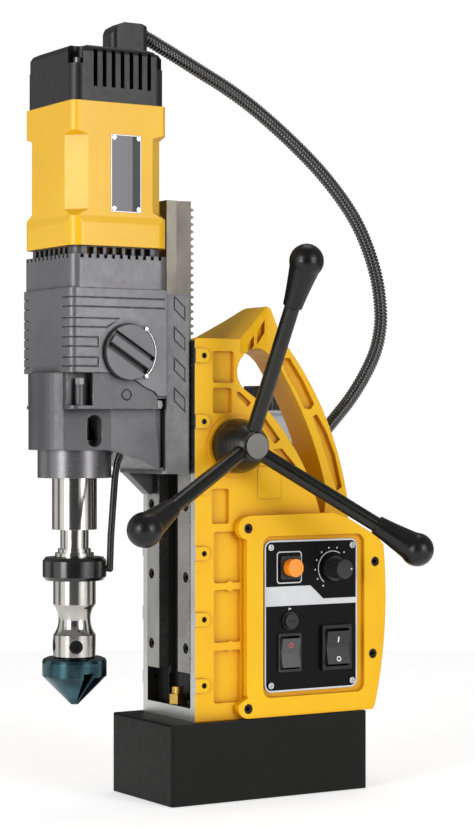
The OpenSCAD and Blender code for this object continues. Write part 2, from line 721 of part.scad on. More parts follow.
module conduit() {
  n = len(conduit_path);
  tan_at = [for (i = [0:n - 1]) let (d = conduit_path[min(i + 1, n - 1)]
    - conduit_path[max(i - 1, 0)]) d / norm(d)];
  pts = [for (i = [0:n - 1]) for (k = [0:conduit_sides - 1])
    let (a = 360 * k / conduit_sides, t = tan_at[i])
    conduit_path[i] + conduit_r * (cos(a) * [-t[2], 0, t[0]] + sin(a) * [0, 1, 0])];
  sides = [for (i = [0:n - 2]) for (k = [0:conduit_sides - 1])
    let (b = (k + 1) % conduit_sides)
    [i * conduit_sides + k, (i + 1) * conduit_sides + k, (i + 1) * conduit_sides + b,
      i * conduit_sides + b]];
  start = [for (k = [0:conduit_sides - 1]) k];
  finish = [for (k = [conduit_sides - 1:-1:0]) (n - 1) * conduit_sides + k];
  color([0.07, 0.07, 0.07]) translate([0, 0, lift])
    polyhedron(points = pts, faces = concat(sides, [start, finish]));
}

// ---------- carriage ----------
case_x0 = xs - 27.5;

module carriage_plate() {
  color([0.42, 0.42, 0.43]) translate([0, 0, lift]) difference() {
    union() {
      xy(281, 434) polygon([[xr, -40], [xr, 40], [xr - 22, 40], [xr - 25, 37],
        [xr - 25, -37], [xr - 22, -40]]);
      // gusset on the far side
      xz(24, 36) polygon([[xr - 25, 300], [xr, 300], [xr, 262], [xr - 3, 262], [xr - 24, 281]]);
    }
    box(xr - 10, xr + 1, -19, 19, 280, 435);
    for (z = rail_screw_z, s = [-1, 1]) translate([xr - 22, s * 10, z]) rotate([0, 90, 0])
      cylinder(h = 25, r = 2);
    // style marks on both sides
    for (s = [0, 1], z = [296, 322, 348, 374]) mirror([0, s, 0]) translate([0, 0, 45])
      xz(-41, -39.2) difference() {
        polygon([[xr - 15, z + 14], [xr - 3.5, z + 4], [xr - 3.5, z - 8], [xr - 15, z + 2]]);
        polygon([[xr - 14, z + 11.8], [xr - 4.5, z + 3.5], [xr - 4.5, z - 5.8],
          [xr - 14, z + 2.5]]);
      }
  }
}

module case_plan(x0, r) {
  // rounded front, straight sides running back to the carriage plate
  rrect(x0, -ch, x0 + 70, ch, r);
  translate([x0 + 40, -ch]) square([xr - 25 - x0 - 40, 2 * ch]);
}

parting = concat([[case_x0 - 20, 366.3], [xs + 16, 366.3]],
  arc3([xs + 22, 365.5], [xs + 32, 361], [xs + 44, 354], 4),
  [[xs + 52, 351], [xr - 33.5, 347], [xr - 25, 347]]);

sel = [-138.3, 383.5];
sel_y = -ch;

module gearcase_upper() {
  color([0.4, 0.4, 0.41]) translate([0, 0, lift]) difference() {
    intersection() {
      xy(330, 436.6) case_plan(case_x0, 7);
      xz(-ch - 1, ch + 1) polygon(concat(parting, [[xr - 25, 440], [case_x0 - 20, 440]]));
    }
    // gear space
    xy(374, 430) rrect(case_x0 + 8, -ch + 6.5, xr - 28, ch - 6.5, 3);
    zcyl(xm, 0, 425, 440, 11 + running_fit);
    zcyl(xs, 0, 330, 380, 17);
    zcyl(xl, yl, 338, 380, 8.5);
    zcyl(xl, yl, 429, 434, 6 + running_fit);
    // selector seat and spindle hole
    ycyl(sel[0], sel[1], -ch - 1, -ch + 1, selector_diameter / 2);
    ycyl(sel[0], sel[1], -ch - 6, -ch + 9, 6 + running_fit);
    case_marks();
    mirror([0, 1, 0]) case_marks();
  }
}

// one style mark: a closed bar outline, its right end square or slanted
module mark(x1, x2, z0, z1) {
  x0 = case_x0 - 3;
  difference() {
    polygon([[x0, z0], [x1, z0], [x2, z1], [x0, z1]]);
    polygon([[x0 - 1, z0 + 1.1], [x1 - 1.1, z0 + 1.1], [x2 - 1.1, z1 - 1.1], [x0 - 1, z1 - 1.1]]);
  }
}

// shallow style grooves that wrap round the front corner
module case_marks() {
  difference() {
    intersection() {
      box(case_x0 - 2, xr - 27, -ch - 2, -31, 366, 436);
      xz(-ch - 3, -30) {
        mark(xr - 26, xr - 26, 420.4, 429.2);
        mark(-158, -146, 403.4, 411.9);
        mark(-166, -166, 387.3, 396.1);
        mark(-166, -166, 370.9, 379.4);
      }
    }
    xy(360, 440) rrect(case_x0 + 0.9, -ch + 0.9, xr - 20, ch - 0.9, 6.1);
  }
}

module lower_side(z0, z1) {
  // profile seen from the side: sloping underside, curved parting line on top
  xz(-60, 60) polygon(concat([[xs - 60, 301.6], [xs + 12, 301.6], [xs + 30, 297],
    [xr - 25, 284]], [[xr - 25, 347], [xr - 33.5, 347], [xs + 52, 351]],
    arc3([xs + 44, 354], [xs + 32, 361], [xs + 22, 365.5], 4),
    [[xs + 16, 366.3], [xs - 60, 366.3]]));
}

nose_r = 31.3;
notch_x = -181;
notch_y = -40.1;

module gearcase_lower() {
  color([0.36, 0.36, 0.37]) translate([0, 0, lift]) difference() {
    union() {
      // rounded front with flat cheeks
      intersection() {
        xy(270, 370) polygon(concat([for (i = [0:16]) let (a = 131 + 98 * i / 16)
          [xs + 39 * cos(a), 39 * sin(a)]],
          [[xs + 14, -40], [xr - 25, -40], [xr - 25, 40], [xs + 14, 40]]));
        lower_side();
      }
      // upper band, nearly as wide as the gearcase above it
      intersection() {
        xy(336, 370) rrect(case_x0 + 1.5, -ch + 1.6, xr - 25 + 14, ch - 1.6, 8);
        box(-300, xr - 25, -100, 100, 330, 370);
        lower_side();
      }
    }
    // gear space and bearing bores
    zcyl(xs, 0, 333, 356, 33.5);
    zcyl(xl, yl, 333, 356, 16);
    zcyl(xs, 0, 260, 320, 23.5);
    zcyl(xs, 0, 319, 334, 19);
    zcyl(xs, 0, 260, 301.6, nose_r);
    zcyl(xs, 0, 355, 380, 17);
    zcyl(xl, yl, 355, 380, 8.5);
    zcyl(xl, yl, 322, 334, 6 + running_fit);
    // slot for driving the arbor out
    xz(-60, 60) rrect(xs - 6, 304.5, xs + 6, 331, 5.9);
    for (s = [0, 1]) mirror([0, s, 0]) {
      // notch with a screw pillar at the front corner
      difference() {
        box(notch_x - 20, notch_x + 10, -60, -36, 339, 370);
        zcyl(notch_x, notch_y, 330, 356, 4);
      }
      zcyl(notch_x, notch_y, 345, 380, 1.6);
      // groove down the side at the back, a bolt at its head
      xz(-60, -36.5) polygon([[xr - 33.5, 345], [xr - 25.01, 345], [xr - 25.01, 287],
        [xr - 28.5, 286]]);
      ycyl(xr - 29.2, 340, -50, -30, 1.6);
      // plug
      difference() {
        ycyl(-139, 348, -46, -ch + 2.4, 4.8);
        ycyl(-139, 348, -47, -ch + 3, 3.8);
      }
    }
    // coolant pipe's socket
    pipe_rod(pipe_pts[3], pipe_pts[4], 3);
  }
}

module nose_collar() {
  color([0.3, 0.3, 0.31]) translate([xs, 0, lift]) difference() {
    union() {
      zcyl(0, 0, 278, 301.6, nose_r);
      zcyl(0, 0, 300, 310, 23.5);
    }
    zcyl(0, 0, 277, 283, nose_diameter / 2 + 0.5);
    zcyl(0, 0, 282, 311, 20);
  }
}

module square_ring(half, r, wall, z0, z1) {
  difference() {
    xy(z0, z1) translate([xm, 0]) rrect(-half, -half, half, half, r);
    xy(z0 - 1, z1 + 1) translate([xm, 0]) rrect(-half + wall, -half + wall, half - wall,
      half - wall, max(r - wall, 2));
  }
}

module motor_adapter() {
  color([0.4, 0.4, 0.41]) translate([0, 0, lift]) difference() {
    union() {
      square_ring(motor_half + 3.2, 9, 6, 436.6, 464.6);
      square_ring(motor_half - 1, 9, 6, 460, motor_bot);
      xy(436.6, 444) translate([xm, 0]) rrect(-motor_half, -motor_half, motor_half,
        motor_half, 9);
    }
    zcyl(xm, 0, 430, 450, 11 + running_fit);
    // vent slots round the top edge
    for (i = [-3:3]) {
      box(xm + i * 9 - 3, xm + i * 9 + 3, -100, 100, 464.6, motor_bot - 1);
      box(xm - 100, xm + 100, i * 9 - 3, i * 9 + 3, 464.6, motor_bot - 1);
    }
    // scallops in the rim
    for (i = [-5:5]) {
      box(xm + i * 7.4 - 1.5, xm + i * 7.4 + 1.5, -100, -motor_half + 1, 461.4, 466);
      box(xm + i * 7.4 - 1.5, xm + i * 7.4 + 1.5, motor_half - 1, 100, 461.4, 466);
      box(xm - 100, xm - motor_half + 1, i * 7.4 - 1.5, i * 7.4 + 1.5, 461.4, 466);
    }
  }
}

module motor_profile(half, r) {
  translate([xm, 0]) rrect(-half, -half, half, half, r);
}

face_y = motor_half + 2.2;   // half width of the motor above its foot band

module motor_housing() {
  side = [[-face_y - 1.2, motor_bot], [face_y + 1.2, motor_bot], [face_y + 1.2, motor_bot + 19],
    [face_y, motor_bot + 25], [face_y, motor_top], [-face_y, motor_top],
    [-face_y, motor_bot + 25], [-face_y - 1.2, motor_bot + 19]];
  color([0.95, 0.72, 0.1]) translate([0, 0, lift]) difference() {
    translate([xm, 0, 0]) intersection() {
      xy(motor_bot, motor_top) rrect(-face_y - 1.2, -face_y - 1.2, face_y + 1.2, face_y + 1.2, 11);
      xz(-100, 100) polygon(side);
      rotate([0, 0, 90]) xz(-100, 100) polygon(side);
    }
    zcyl(xm, 0, motor_bot - 1, motor_top + 1, motor_half - 5);
    // flats across the corners of the waist
    for (a = [45, 135, 225, 315]) translate([xm, 0, 0]) rotate([0, 0, a])
      xz(-60, 60) polygon([[53.5, motor_bot + 30], [73, motor_bot + 16],
        [73, motor_top - 20], [53.5, motor_top - 28]]);
    // nameplate seat
    box(-154.3, -125.7, -face_y - 3, -face_y + 1, 500.5, 565.2);
    for (x = [-151.6, -128.4], z = [503.2, 562.5])
      ycyl(x, z, -face_y, -face_y + 6, 1.2);
    for (a = [45, 135, 225, 315]) translate([xm, 0, 0]) rotate([0, 0, a])
      translate([screw_at, 0, motor_top - 18]) cylinder(h = 30, r = 2.2);
  }
}

module nameplate() {
  color([0.6, 0.6, 0.62]) translate([0, 0, lift]) difference() {
    xz(-face_y - 0.3, -face_y + 1) rrect(-154.3, 500.5, -125.7, 565.2, 0.8);
    for (x = [-151.6, -128.4], z = [503.2, 562.5])
      ycyl(x, z, -face_y - 2, -face_y + 6, 1.2);
  }
}

module nameplate_rivets() {
  color([0.85, 0.85, 0.85]) translate([0, 0, lift])
    for (x = [-151.6, -128.4], z = [503.2, 562.5]) {
      ycyl(x, z, -face_y - 1.1, -face_y - 0.3, 2);
      ycyl(x, z, -face_y - 0.4, -face_y + 5, 1.2);
    }
}

screw_at = motor_half * 1.414 - 11.5;   // corner screws, out along the diagonals

module motor_cap() {
  h = motor_half + 1.6;
  color([0.1, 0.1, 0.1]) translate([0, 0, lift]) difference() {
    intersection() {
      xy(motor_top, cap_top) motor_profile(h, 11);
      xz(-100, 100) polygon([[xm - h, motor_top], [xm + h, motor_top], [xm + h, cap_top - 6],
        [xm + h - 2, cap_top - 2], [xm + h - 6, cap_top], [xm - h + 6, cap_top],
        [xm - h + 2, cap_top - 2], [xm - h, cap_top - 6]]);
      rotate([0, 0, 90]) xz(-300, 300) polygon([[-h, motor_top], [h, motor_top],
        [h, cap_top - 6], [h - 2, cap_top - 2], [h - 6, cap_top], [-h + 6, cap_top],
        [-h + 2, cap_top - 2], [-h, cap_top - 6]]);
    }
    zcyl(xm, 0, motor_top - 1, cap_top - 5, motor_half - 6);
    // cooling slots through both sides
    for (i = [-3:3]) box(xm + 2 + i * 8.5 - 1.8, xm + 2 + i * 8.5 + 1.8, -100, 100,
      motor_top + 12.5, cap_top - 3.5);
    // recesses for the corner screws
    for (a = [45, 135, 225, 315]) translate([xm, 0, 0]) rotate([0, 0, a])
      translate([screw_at, 0, 0]) {
        zcyl(0, 0, motor_top + 31, cap_top + 1, 6.6);
        box(0, 30, -6.6, 6.6, motor_top + 31, cap_top + 1);
        zcyl(0, 0, motor_top - 1, cap_top, 2.4);
      }
    // cable hole
    zcyl(xm + 30, 0, cap_top - 14, cap_top + 1, 5);
  }
}

module case_screws() {
  color([0.75, 0.75, 0.76]) translate([0, 0, lift]) for (s = [0, 1]) mirror([0, s, 0]) {
    // under the parting line
    zcyl(notch_x, notch_y, 345.2, 357, 1.55);
    translate([notch_x, notch_y, 356]) cylinder(h = 5.5, r = 4, $fn = 6);
    // at the head of the rear groove
    ycyl(xr - 29.2, 340, -36.6, -30.2, 1.55);
    translate([xr - 29.2, -36.5, 340]) rotate([90, 0, 0]) cylinder(h = 4, r = 4, $fn = 6);
  }
  color([0.75, 0.75, 0.76]) translate([0, 0, lift])
    for (a = [45, 135, 225, 315]) translate([xm, 0, 0]) rotate([0, 0, a])
      translate([screw_at, 0, 0]) difference() {
        union() {
          zcyl(0, 0, motor_top + 31, motor_top + 36, 4.2);
          zcyl(0, 0, motor_top - 17, motor_top + 32, 2.2);
        }
        translate([0, 0, motor_top + 33]) cylinder(h = 4, r = 2, $fn = 6);
      }
}

module cable_cover() {
  color([0.09, 0.09, 0.09]) translate([0, 0, lift]) difference() {
    intersection() {
      xy(cap_top, cap_top + 30) rrect(xm + 10, -11, xm + 47, 11, 7);
      xz(-20, 20) polygon([[xm + 9, cap_top], [xm + 10.5, cap_top + 17], [xm + 15, cap_top + 24],
        [xm + 22, cap_top + 28], [xm + 39, cap_top + 28], [xm + 45, cap_top + 26],
        [xm + 48, cap_top + 22], [xm + 48, cap_top]]);
    }
    pipe_rod([-84, 0, 653.5], [-106, 0, 660.1], 6.5);
    box(xm + 24, xm + 37, -5, 5, cap_top - 1, cap_top + 15);
  }
}

// ---------- slide ----------
rail_screw_z = [300, 345, 390, 420];

module slide_rail() {
  color([0.66, 0.66, 0.66]) translate([0, 0, lift]) difference() {
    xy(rail_bot, rail_top) polygon([[xr - 10, -19], [xr, -19], [xr, -rail_half],
      [gf + rail_back, -rail_half - dt * (gf + rail_back - xr)],
      [gf + rail_back, rail_half + dt * (gf + rail_back - xr)], [xr, rail_half],
      [xr, 19], [xr - 10, 19]]);
    box(gf + rail_back - 4, gf + rail_back + 1, -rack_width / 2, rack_width / 2,
      rail_bot - 1, rail_top + 1);
    for (z = rail_screw_z, s = [-1, 1]) translate([xr - 12, s * 10, z]) rotate([0, 90, 0]) {
      cylinder(h = 40, r = 2);
      translate([0, 0, 15 + rail_back - 8]) cylinder(h = 10, r = 3.7);
    }
  }
}

module rail_screws() {
  color([0.2, 0.2, 0.2]) translate([0, 0, lift]) for (z = rail_screw_z, s = [-1, 1])
    translate([0, s * 10, z]) rotate([0, 0, 90])
      yscrew(0, 0, -(gf + rail_back - 8), 3.6, 3.6, 1.95, 24, 3);
}

module feed_rack() {
  p = feed_module * PI;
  n = floor((rail_length - 4) / p);
  z0 = pz - floor((pz - rail_bot) / p) * p;
  hw = p / 4 - tooth_play / 2;
  tn = tan(20);
  color([0.45, 0.45, 0.46]) translate([0, 0, lift]) intersection() {
    xz(-rack_width / 2, rack_width / 2) union() {
      translate([gf + rail_back - 4, rail_bot]) square([rack_pitch_x - 1.25 * feed_module
        - gf - rail_back + 4, rail_length]);
      for (k = [0:n]) let (c = z0 + (k + 0.5) * p) if (c < rail_top - 3)
        polygon([[rack_pitch_x - 1.25 * feed_module - 0.5, c - hw - 1.25 * feed_module * tn],
          [rack_pitch_x - 1.25 * feed_module, c - hw - 1.25 * feed_module * tn],
          [rack_pitch_x + feed_module, c - hw + feed_module * tn],
          [rack_pitch_x + feed_module, c + hw - feed_module * tn],
          [rack_pitch_x - 1.25 * feed_module, c + hw + 1.25 * feed_module * tn],
          [rack_pitch_x - 1.25 * feed_module - 0.5, c + hw + 1.25 * feed_module * tn]]);
    }
    box(gf, gf + 40, -50, 50, rail_bot, rail_top);
  }
}

// ---------- selector ----------
module selector_clip() {
  color([0.85, 0.85, 0.86]) translate([sel[0], sel_y, sel[1] + lift]) {
    rotate([90, 0, 0]) rotate([0, 0, -50]) rotate_extrude(angle = 100)
      translate([selector_diameter / 2 + 1.6, 1]) circle(0.9);
    for (a = [-50, 50]) translate([(selector_diameter / 2 + 1.8) * cos(a), 0,
      (selector_diameter / 2 + 1.8) * sin(a)]) rotate([90, 0, 0]) cylinder(h = 2.2, r = 1.7);
  }
}

module selector_knob() {
  r = selector_diameter / 2 - 0.9;
  color([0.5, 0.5, 0.51]) translate([sel[0], sel_y, sel[1] + lift]) {
    rotate([90, 0, 0]) translate([0, 0, -0.6]) difference() {
      cylinder(h = 5.6, r = r);
      rotate([0, 0, -selector_tilt]) {
        translate([-r + 1.6, 3.5, 1.6]) cube([2 * r - 3.2, 5, 10]);
        translate([-r + 1.6, -8.5, 1.6]) cube([2 * r - 3.2, 5, 10]);
      }
    }
    rotate([90, 0, 0]) intersection() {
      cylinder(h = 8, r = r - 1.6);
      rotate([0, 0, -selector_tilt]) translate([-r, -3.5, 0]) cube([2 * r, 7, 10]);
    }
    translate([0, 18, 0]) rotate([90, 0, 0]) cylinder(h = 19, r = 6);
    translate([0, 22, 5]) rotate([90, 0, 0]) cylinder(h = 5, r = 2.5);
  }
}

// ---------- coolant pipe and ring ----------
ring_z0 = 191.4;
ring_z1 = 210.9;
pipe_y = -20;

module coolant_ring() {
  r = ring_diameter / 2;
  color([0.08, 0.08, 0.08]) translate([xs, 0, lift]) difference() {
    rotate_extrude() polygon([[13 + running_fit, ring_z0], [r - 2.5, ring_z0],
      [r, ring_z0 + 3], [r, ring_z1 - 3], [r - 2.5, ring_z1], [13 + running_fit, ring_z1]]);
    // inner groove that feeds the coolant to the arbor
    rotate_extrude() polygon([[12, 198.5], [16, 198.5], [16, 204], [12, 204]]);
    rotate([0, 0, -40]) translate([12, 0, 201.2]) rotate([0, 90, 0]) cylinder(h = 30, r = 2.5);
  }
}

function pipe_at(r, z) = [xs + r * cos(40), -r * sin(40), z];
pipe_pts = [pipe_at(30.5, 201.2), pipe_at(31.5, 230), pipe_at(35, 279), pipe_at(37, 291),
  pipe_at(40.5, 300.5)];

module coolant_pipe() {
  color([0.1, 0.1, 0.1]) translate([0, 0, lift]) union() {
    translate([xs, 0, 201.2]) rotate([0, 0, -40]) translate([17, 0, 0]) rotate([0, 90, 0])
      cylinder(h = 13.5, r = 2.5);
    for (i = [0:3]) pipe_rod(pipe_pts[i], pipe_pts[i + 1], i == 3 ? 3 : 2.9);
    for (i = [0:3]) translate(pipe_pts[i]) sphere(3);
  }
}

module pipe_rod(a, b, r) {
  d = b - a;
  translate(a) rotate([0, acos(d[2] / norm(d)), atan2(d[1], d[0])]) cylinder(h = norm(d), r = r);
}

// ---------- motor inside ----------
module stator() {
  color([0.55, 0.35, 0.2]) translate([xm, 0, lift]) difference() {
    zcyl(0, 0, motor_bot + 20, motor_bot + 90, motor_half - 5);
    zcyl(0, 0, motor_bot + 19, motor_bot + 91, 24);
  }
}

module bearings() {
  color([0.6, 0.6, 0.62]) translate([xs, 0, lift]) {
    difference() {
      zcyl(0, 0, 284, 299, 20);
      zcyl(0, 0, 283, 300, 17.5 + running_fit);
    }
    difference() {
      zcyl(0, 0, 357, 369, 17);
      zcyl(0, 0, 356, 370, 10 + running_fit);
    }
  }
  color([0.6, 0.6, 0.62]) translate([xm, 0, lift]) {
    difference() {
      zcyl(0, 0, 437, 446, 11);
      zcyl(0, 0, 436, 447, 5 + running_fit);
    }
    difference() {
      union() {
        zcyl(0, 0, motor_top + 3, motor_top + 11, 11);
        zcyl(0, 0, motor_top + 3, motor_top + 6, motor_half - 6);
      }
      zcyl(0, 0, motor_top, motor_top + 12, 5 + running_fit);
    }
  }
}

gear_z1 = 388;
module armature() {
  color([0.6, 0.42, 0.25]) translate([xm, 0, lift]) {
    zcyl(0, 0, 384, motor_top + 12, 5);
    zcyl(0, 0, motor_bot + 24, motor_bot + 86, 23);
    zcyl(0, 0, motor_bot + 92, motor_bot + 108, 15);
    zcyl(0, 0, motor_bot - 16, motor_bot - 6, 32);
    translate([0, 0, gear_z1]) linear_extrude(16) rotate([0, 0, mesh_a])
      gear(m1, t1, tooth_play, 1);
  }
}

module layshaft() {
  color([0.5, 0.5, 0.52]) translate([xl, yl, lift]) {
    zcyl(0, 0, 323, 433.5, 6);
    translate([0, 0, gear_z1 + 2]) linear_extrude(12) rotate([0, 0, mesh_a + 180 + 180 / t2])
      gear(m1, t2, tooth_play, 0.8);
    translate([0, 0, 336]) linear_extrude(12) rotate([0, 0, mesh_b + 180])
      gear(m2, t3, tooth_play, 1);
  }
}

taper_top = 296;
module spindle() {
  color([0.8, 0.8, 0.8]) translate([xs, 0, lift]) difference() {
    union() {
      difference() {
        zcyl(0, 0, 234.3, 283.2, nose_diameter / 2);
        zcyl(0, 0, 233, 234.8, nose_diameter / 2 - 0.5);
      }
      zcyl(0, 0, 283, 331, 17.5);
      zcyl(0, 0, 330, 370.5, 10);
    }
    translate([0, 0, 234]) cylinder(h = taper_top - 234, r1 = 12, r2 = 9.5);
    zcyl(0, 0, taper_top - e, 316, 9);
    xz(-30, 30) rrect(-4.5, 302, 4.5, 328, 4);
  }
  color([0.5, 0.5, 0.52]) translate([xs, 0, 336.5 + lift])
    linear_extrude(11) rotate([0, 0, mesh_b + 180 / t4])
      gear(m2, t4, tooth_play, 0.8);
}

screw_angles = [-113, -203];
module arbor() {
  ar = arbor_diameter / 2;
  br = shank_diameter / 2;
  color([0.75, 0.75, 0.76]) translate([xs, 0, lift]) difference() {
    union() {
      translate([0, 0, 234]) cylinder(h = taper_top - 234, r1 = 12, r2 = 9.5);
      zcyl(0, 0, taper_top - e, 306, 6);
      zcyl(0, 0, 218, 234.1, 12);
      zcyl(0, 0, 214.5, 218.1, 14);
      zcyl(0, 0, ring_z1 + 0.3, 214.6, 16.5);
      zcyl(0, 0, ring_z0 - 0.3, ring_z1 + 0.4, 13);
      rotate_extrude() polygon(concat([[0, ring_z0 - 0.3], [ar, ring_z0 - 0.3], [ar, 171]],
        arc3([ar - 0.8, 169.5], [13.6, 156], [ar - 0.8, 146], 10),
        [[ar, 145], [ar, 127], [ar - 1, 126], [0, 126]]));
    }
    zcyl(0, 0, 125, 176, br);
    for (a = screw_angles) rotate([0, 0, a]) translate([br - 2, 0, 136]) rotate([0, 90, 0])
      cylinder(h = 14, r = 5.6);
    zcyl(0, 0, 175, 201, 3);
    translate([0, 0, 201.2]) rotate([0, 90, 0]) translate([0, 0, -14]) cylinder(h = 28, r = 2);
  }
}

module arbor_screws() {
  br = shank_diameter / 2;
  color([0.15, 0.15, 0.15]) translate([xs, 0, lift]) for (a = screw_angles)
    rotate([0, 0, a]) translate([0, 0, 136]) rotate([0, 90, 0]) difference() {
      translate([0, 0, br - 0.6]) cylinder(h = arbor_diameter / 2 - br + 0.7, r = 5.6);
      translate([0, 0, arbor_diameter / 2 - 2.8]) cylinder(h = 5, r = 3.2, $fn = 6);
    }
}

module countersink() {
  r = countersink_diameter / 2;
  br = shank_diameter / 2;
  rim = 110.4;
  tip = r - countersink_depth;
  color([0.1, 0.3, 0.33]) translate([xs, 0, lift]) difference() {
    union() {
      zcyl(0, 0, 124, 170, br);
      rotate_extrude() polygon([[0, 126], [r - 4, 126], [r - 1, 124.6], [r, 122], [r, rim],
        [tip, rim - countersink_depth], [0, rim - countersink_depth]]);
    }
    // flats for the set screws
    for (a = screw_angles) rotate([0, 0, a]) box(br - 0.6, br + 5, -6, 6, 128, 146);
    // three flutes
    for (a = [20, 140, 260]) rotate([0, 0, a]) translate([0, 0, rim - countersink_depth - 2])
      rotate([0, 22, 0]) linear_extrude(38) polygon([[3, 0], [r + 22, -2], [r + 22, 22],
        [r * 0.75, 14]]);
    // coolant hole
    zcyl(0, 0, rim - countersink_depth - 1, 171, 2);
  }
}

// ---------- capstan ----------
hub_r = 23.3;
lever_a = 85;
hub_y = -sw - 2.5;
lever_y = hub_y - 22.5;           // where the rods' lines meet

module at_levers() {
  for (k = [0, 1, 2]) translate([px, lever_y, pz + lift])
    rotate([0, -(lever_a - 120 * k), 0]) rotate([0, 0, -lever_lean]) rotate([0, 90, 0])
      children();
}

module capstan_hub() {
  color([0.1, 0.1, 0.1]) translate([0, 0, 0]) difference() {
    translate([px, hub_y, pz + lift]) rotate([90, 0, 0]) rotate_extrude() polygon(concat(
      [[0, 0], [hub_r - 0.5, 0], [hub_r, 0.6], [hub_r, 9]],
      arc3([hub_r - 0.8, 12], [19.5, 22], [12.5, 34.6], 6), [[0, 34.6]]));
    at_levers() translate([0, 0, 9]) cylinder(h = 40, r = lever_diameter / 2);
    translate([0, 0, lift]) ycyl(px, pz, hub_y - 22, hub_y + 1, 8);
  }
}

module capstan_cap() {
  color([0.6, 0.6, 0.61]) translate([0, 0, lift]) {
    ycyl(px, pz, hub_y - 36.9, hub_y - 34.6, 10.8);
  }
}

module pinion_shaft() {
  color([0.5, 0.5, 0.5]) translate([0, 0, lift]) {
    ycyl(px, pz, -sw - 2, sw + 1.3, 10);
    ycyl(px, pz, hub_y - 22, -sw - 1, 8);
    translate([px, 0, pz]) xz(-pinion_wide / 2, pinion_wide / 2) rotate([0, 0, 180])
      gear(feed_module, pinion_teeth, tooth_play, 1);
    ycyl(px, pz, sw + 1.2, sw + 4, 12);
  }
}

module lever_rods() {
  color([0.12, 0.12, 0.12]) at_levers() {
    translate([0, 0, 9]) cylinder(h = lever_length + 9, r = lever_diameter / 2);
  }
}

module lever_grips() {
  ball = grip_ball / 2;
  reach = lever_length + 41;
  color([0.08, 0.08, 0.08]) at_levers() difference() {
    rotate_extrude() polygon(concat([[0, lever_length], [lever_diameter / 2 + 1.1, lever_length],
      [lever_diameter / 2 + 1.9, lever_length + 1]],
      arc3([lever_diameter / 2 + 2.1, lever_length + 4], [ball * 0.69, lever_length + 16],
        [ball * 0.87, reach - ball * 0.5], 6),
      arc3([ball * 0.9, reach - ball * 0.43], [ball * 0.98, reach + ball * 0.2],
        [0.01, reach + ball], 12), [[0, reach + ball]]));
    translate([0, 0, lever_length - 1]) cylinder(h = 19.01, r = lever_diameter / 2);
  }
}

magnet_core();
magnet_coil();
base_bolts();
stand_housing();
guide_strips();
strip_screws();
gib_screws();
stop_screw();
pinion_bushes();
control_door();
door_screws();
control_plate();
plate_screws();
control_board();
button_body();
reverse_button();
speed_control();
speed_dial();
fuse_holder();
fuse_cap();
motor_switch();
motor_rocker();
magnet_switch();
magnet_rocker();
coolant_bottle();
bottle_cap();
bottle_bracket();
conduit_gland();
conduit();
carriage_plate();
gearcase_upper();
gearcase_lower();
nose_collar();
motor_adapter();
motor_housing();
motor_cap();
case_screws();
cable_cover();
nameplate();
nameplate_rivets();
slide_rail();
rail_screws();
feed_rack();
selector_clip();
selector_knob();
coolant_pipe();
coolant_ring();
stator();
bearings();
armature();
layshaft();
spindle();
arbor();
arbor_screws();
countersink();
capstan_hub();
capstan_cap();
pinion_shaft();
lever_rods();
lever_grips();
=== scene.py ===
"""Magnetic drill press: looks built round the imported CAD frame.

Metres, in the row's frame: origin in the middle of the magnet's underside, +Z up,
-X towards the spindle, -Y towards the control panel.
"""
import math

import bpy
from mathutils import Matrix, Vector

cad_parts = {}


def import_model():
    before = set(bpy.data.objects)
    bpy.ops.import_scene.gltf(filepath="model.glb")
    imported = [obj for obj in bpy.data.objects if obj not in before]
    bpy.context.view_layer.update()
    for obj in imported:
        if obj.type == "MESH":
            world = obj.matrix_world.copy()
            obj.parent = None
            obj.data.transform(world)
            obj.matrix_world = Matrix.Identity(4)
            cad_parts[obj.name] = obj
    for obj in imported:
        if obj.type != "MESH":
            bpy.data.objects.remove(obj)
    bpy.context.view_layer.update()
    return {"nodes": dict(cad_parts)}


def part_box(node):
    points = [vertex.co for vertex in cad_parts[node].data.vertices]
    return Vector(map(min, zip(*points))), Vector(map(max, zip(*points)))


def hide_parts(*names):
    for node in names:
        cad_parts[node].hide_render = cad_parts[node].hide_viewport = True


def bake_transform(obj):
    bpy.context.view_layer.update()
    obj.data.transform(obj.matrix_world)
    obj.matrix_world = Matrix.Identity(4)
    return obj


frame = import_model()
nodes = frame["nodes"]


# ------------------------------------------------------------------ camera
CAMERA_AT = (-1.0391, -1.6852, 0.32192)
CAMERA_TURN = 31.59     # degrees to the right of +Y; the camera is level
CAMERA_LENS = 96.86
CAMERA_SENSOR = 36.0
CAMERA_SHIFT_Y = 0.01311
CAMERA_CLIP_END = 50.0


def set_camera():
    """The camera that was fitted to the photograph."""
    data = bpy.data.cameras.new("camera")
    cam = bpy.data.objects.new("camera", data)
    bpy.context.scene.collection.objects.link(cam)
    cam.location = CAMERA_AT
    cam.rotation_euler = (math.radians(90), 0.0, -math.radians(CAMERA_TURN))
    data.sensor_width = CAMERA_SENSOR
    data.lens = CAMERA_LENS
    data.shift_y = CAMERA_SHIFT_Y
    data.clip_end = CAMERA_CLIP_END
    bpy.context.scene.camera = cam


set_camera()


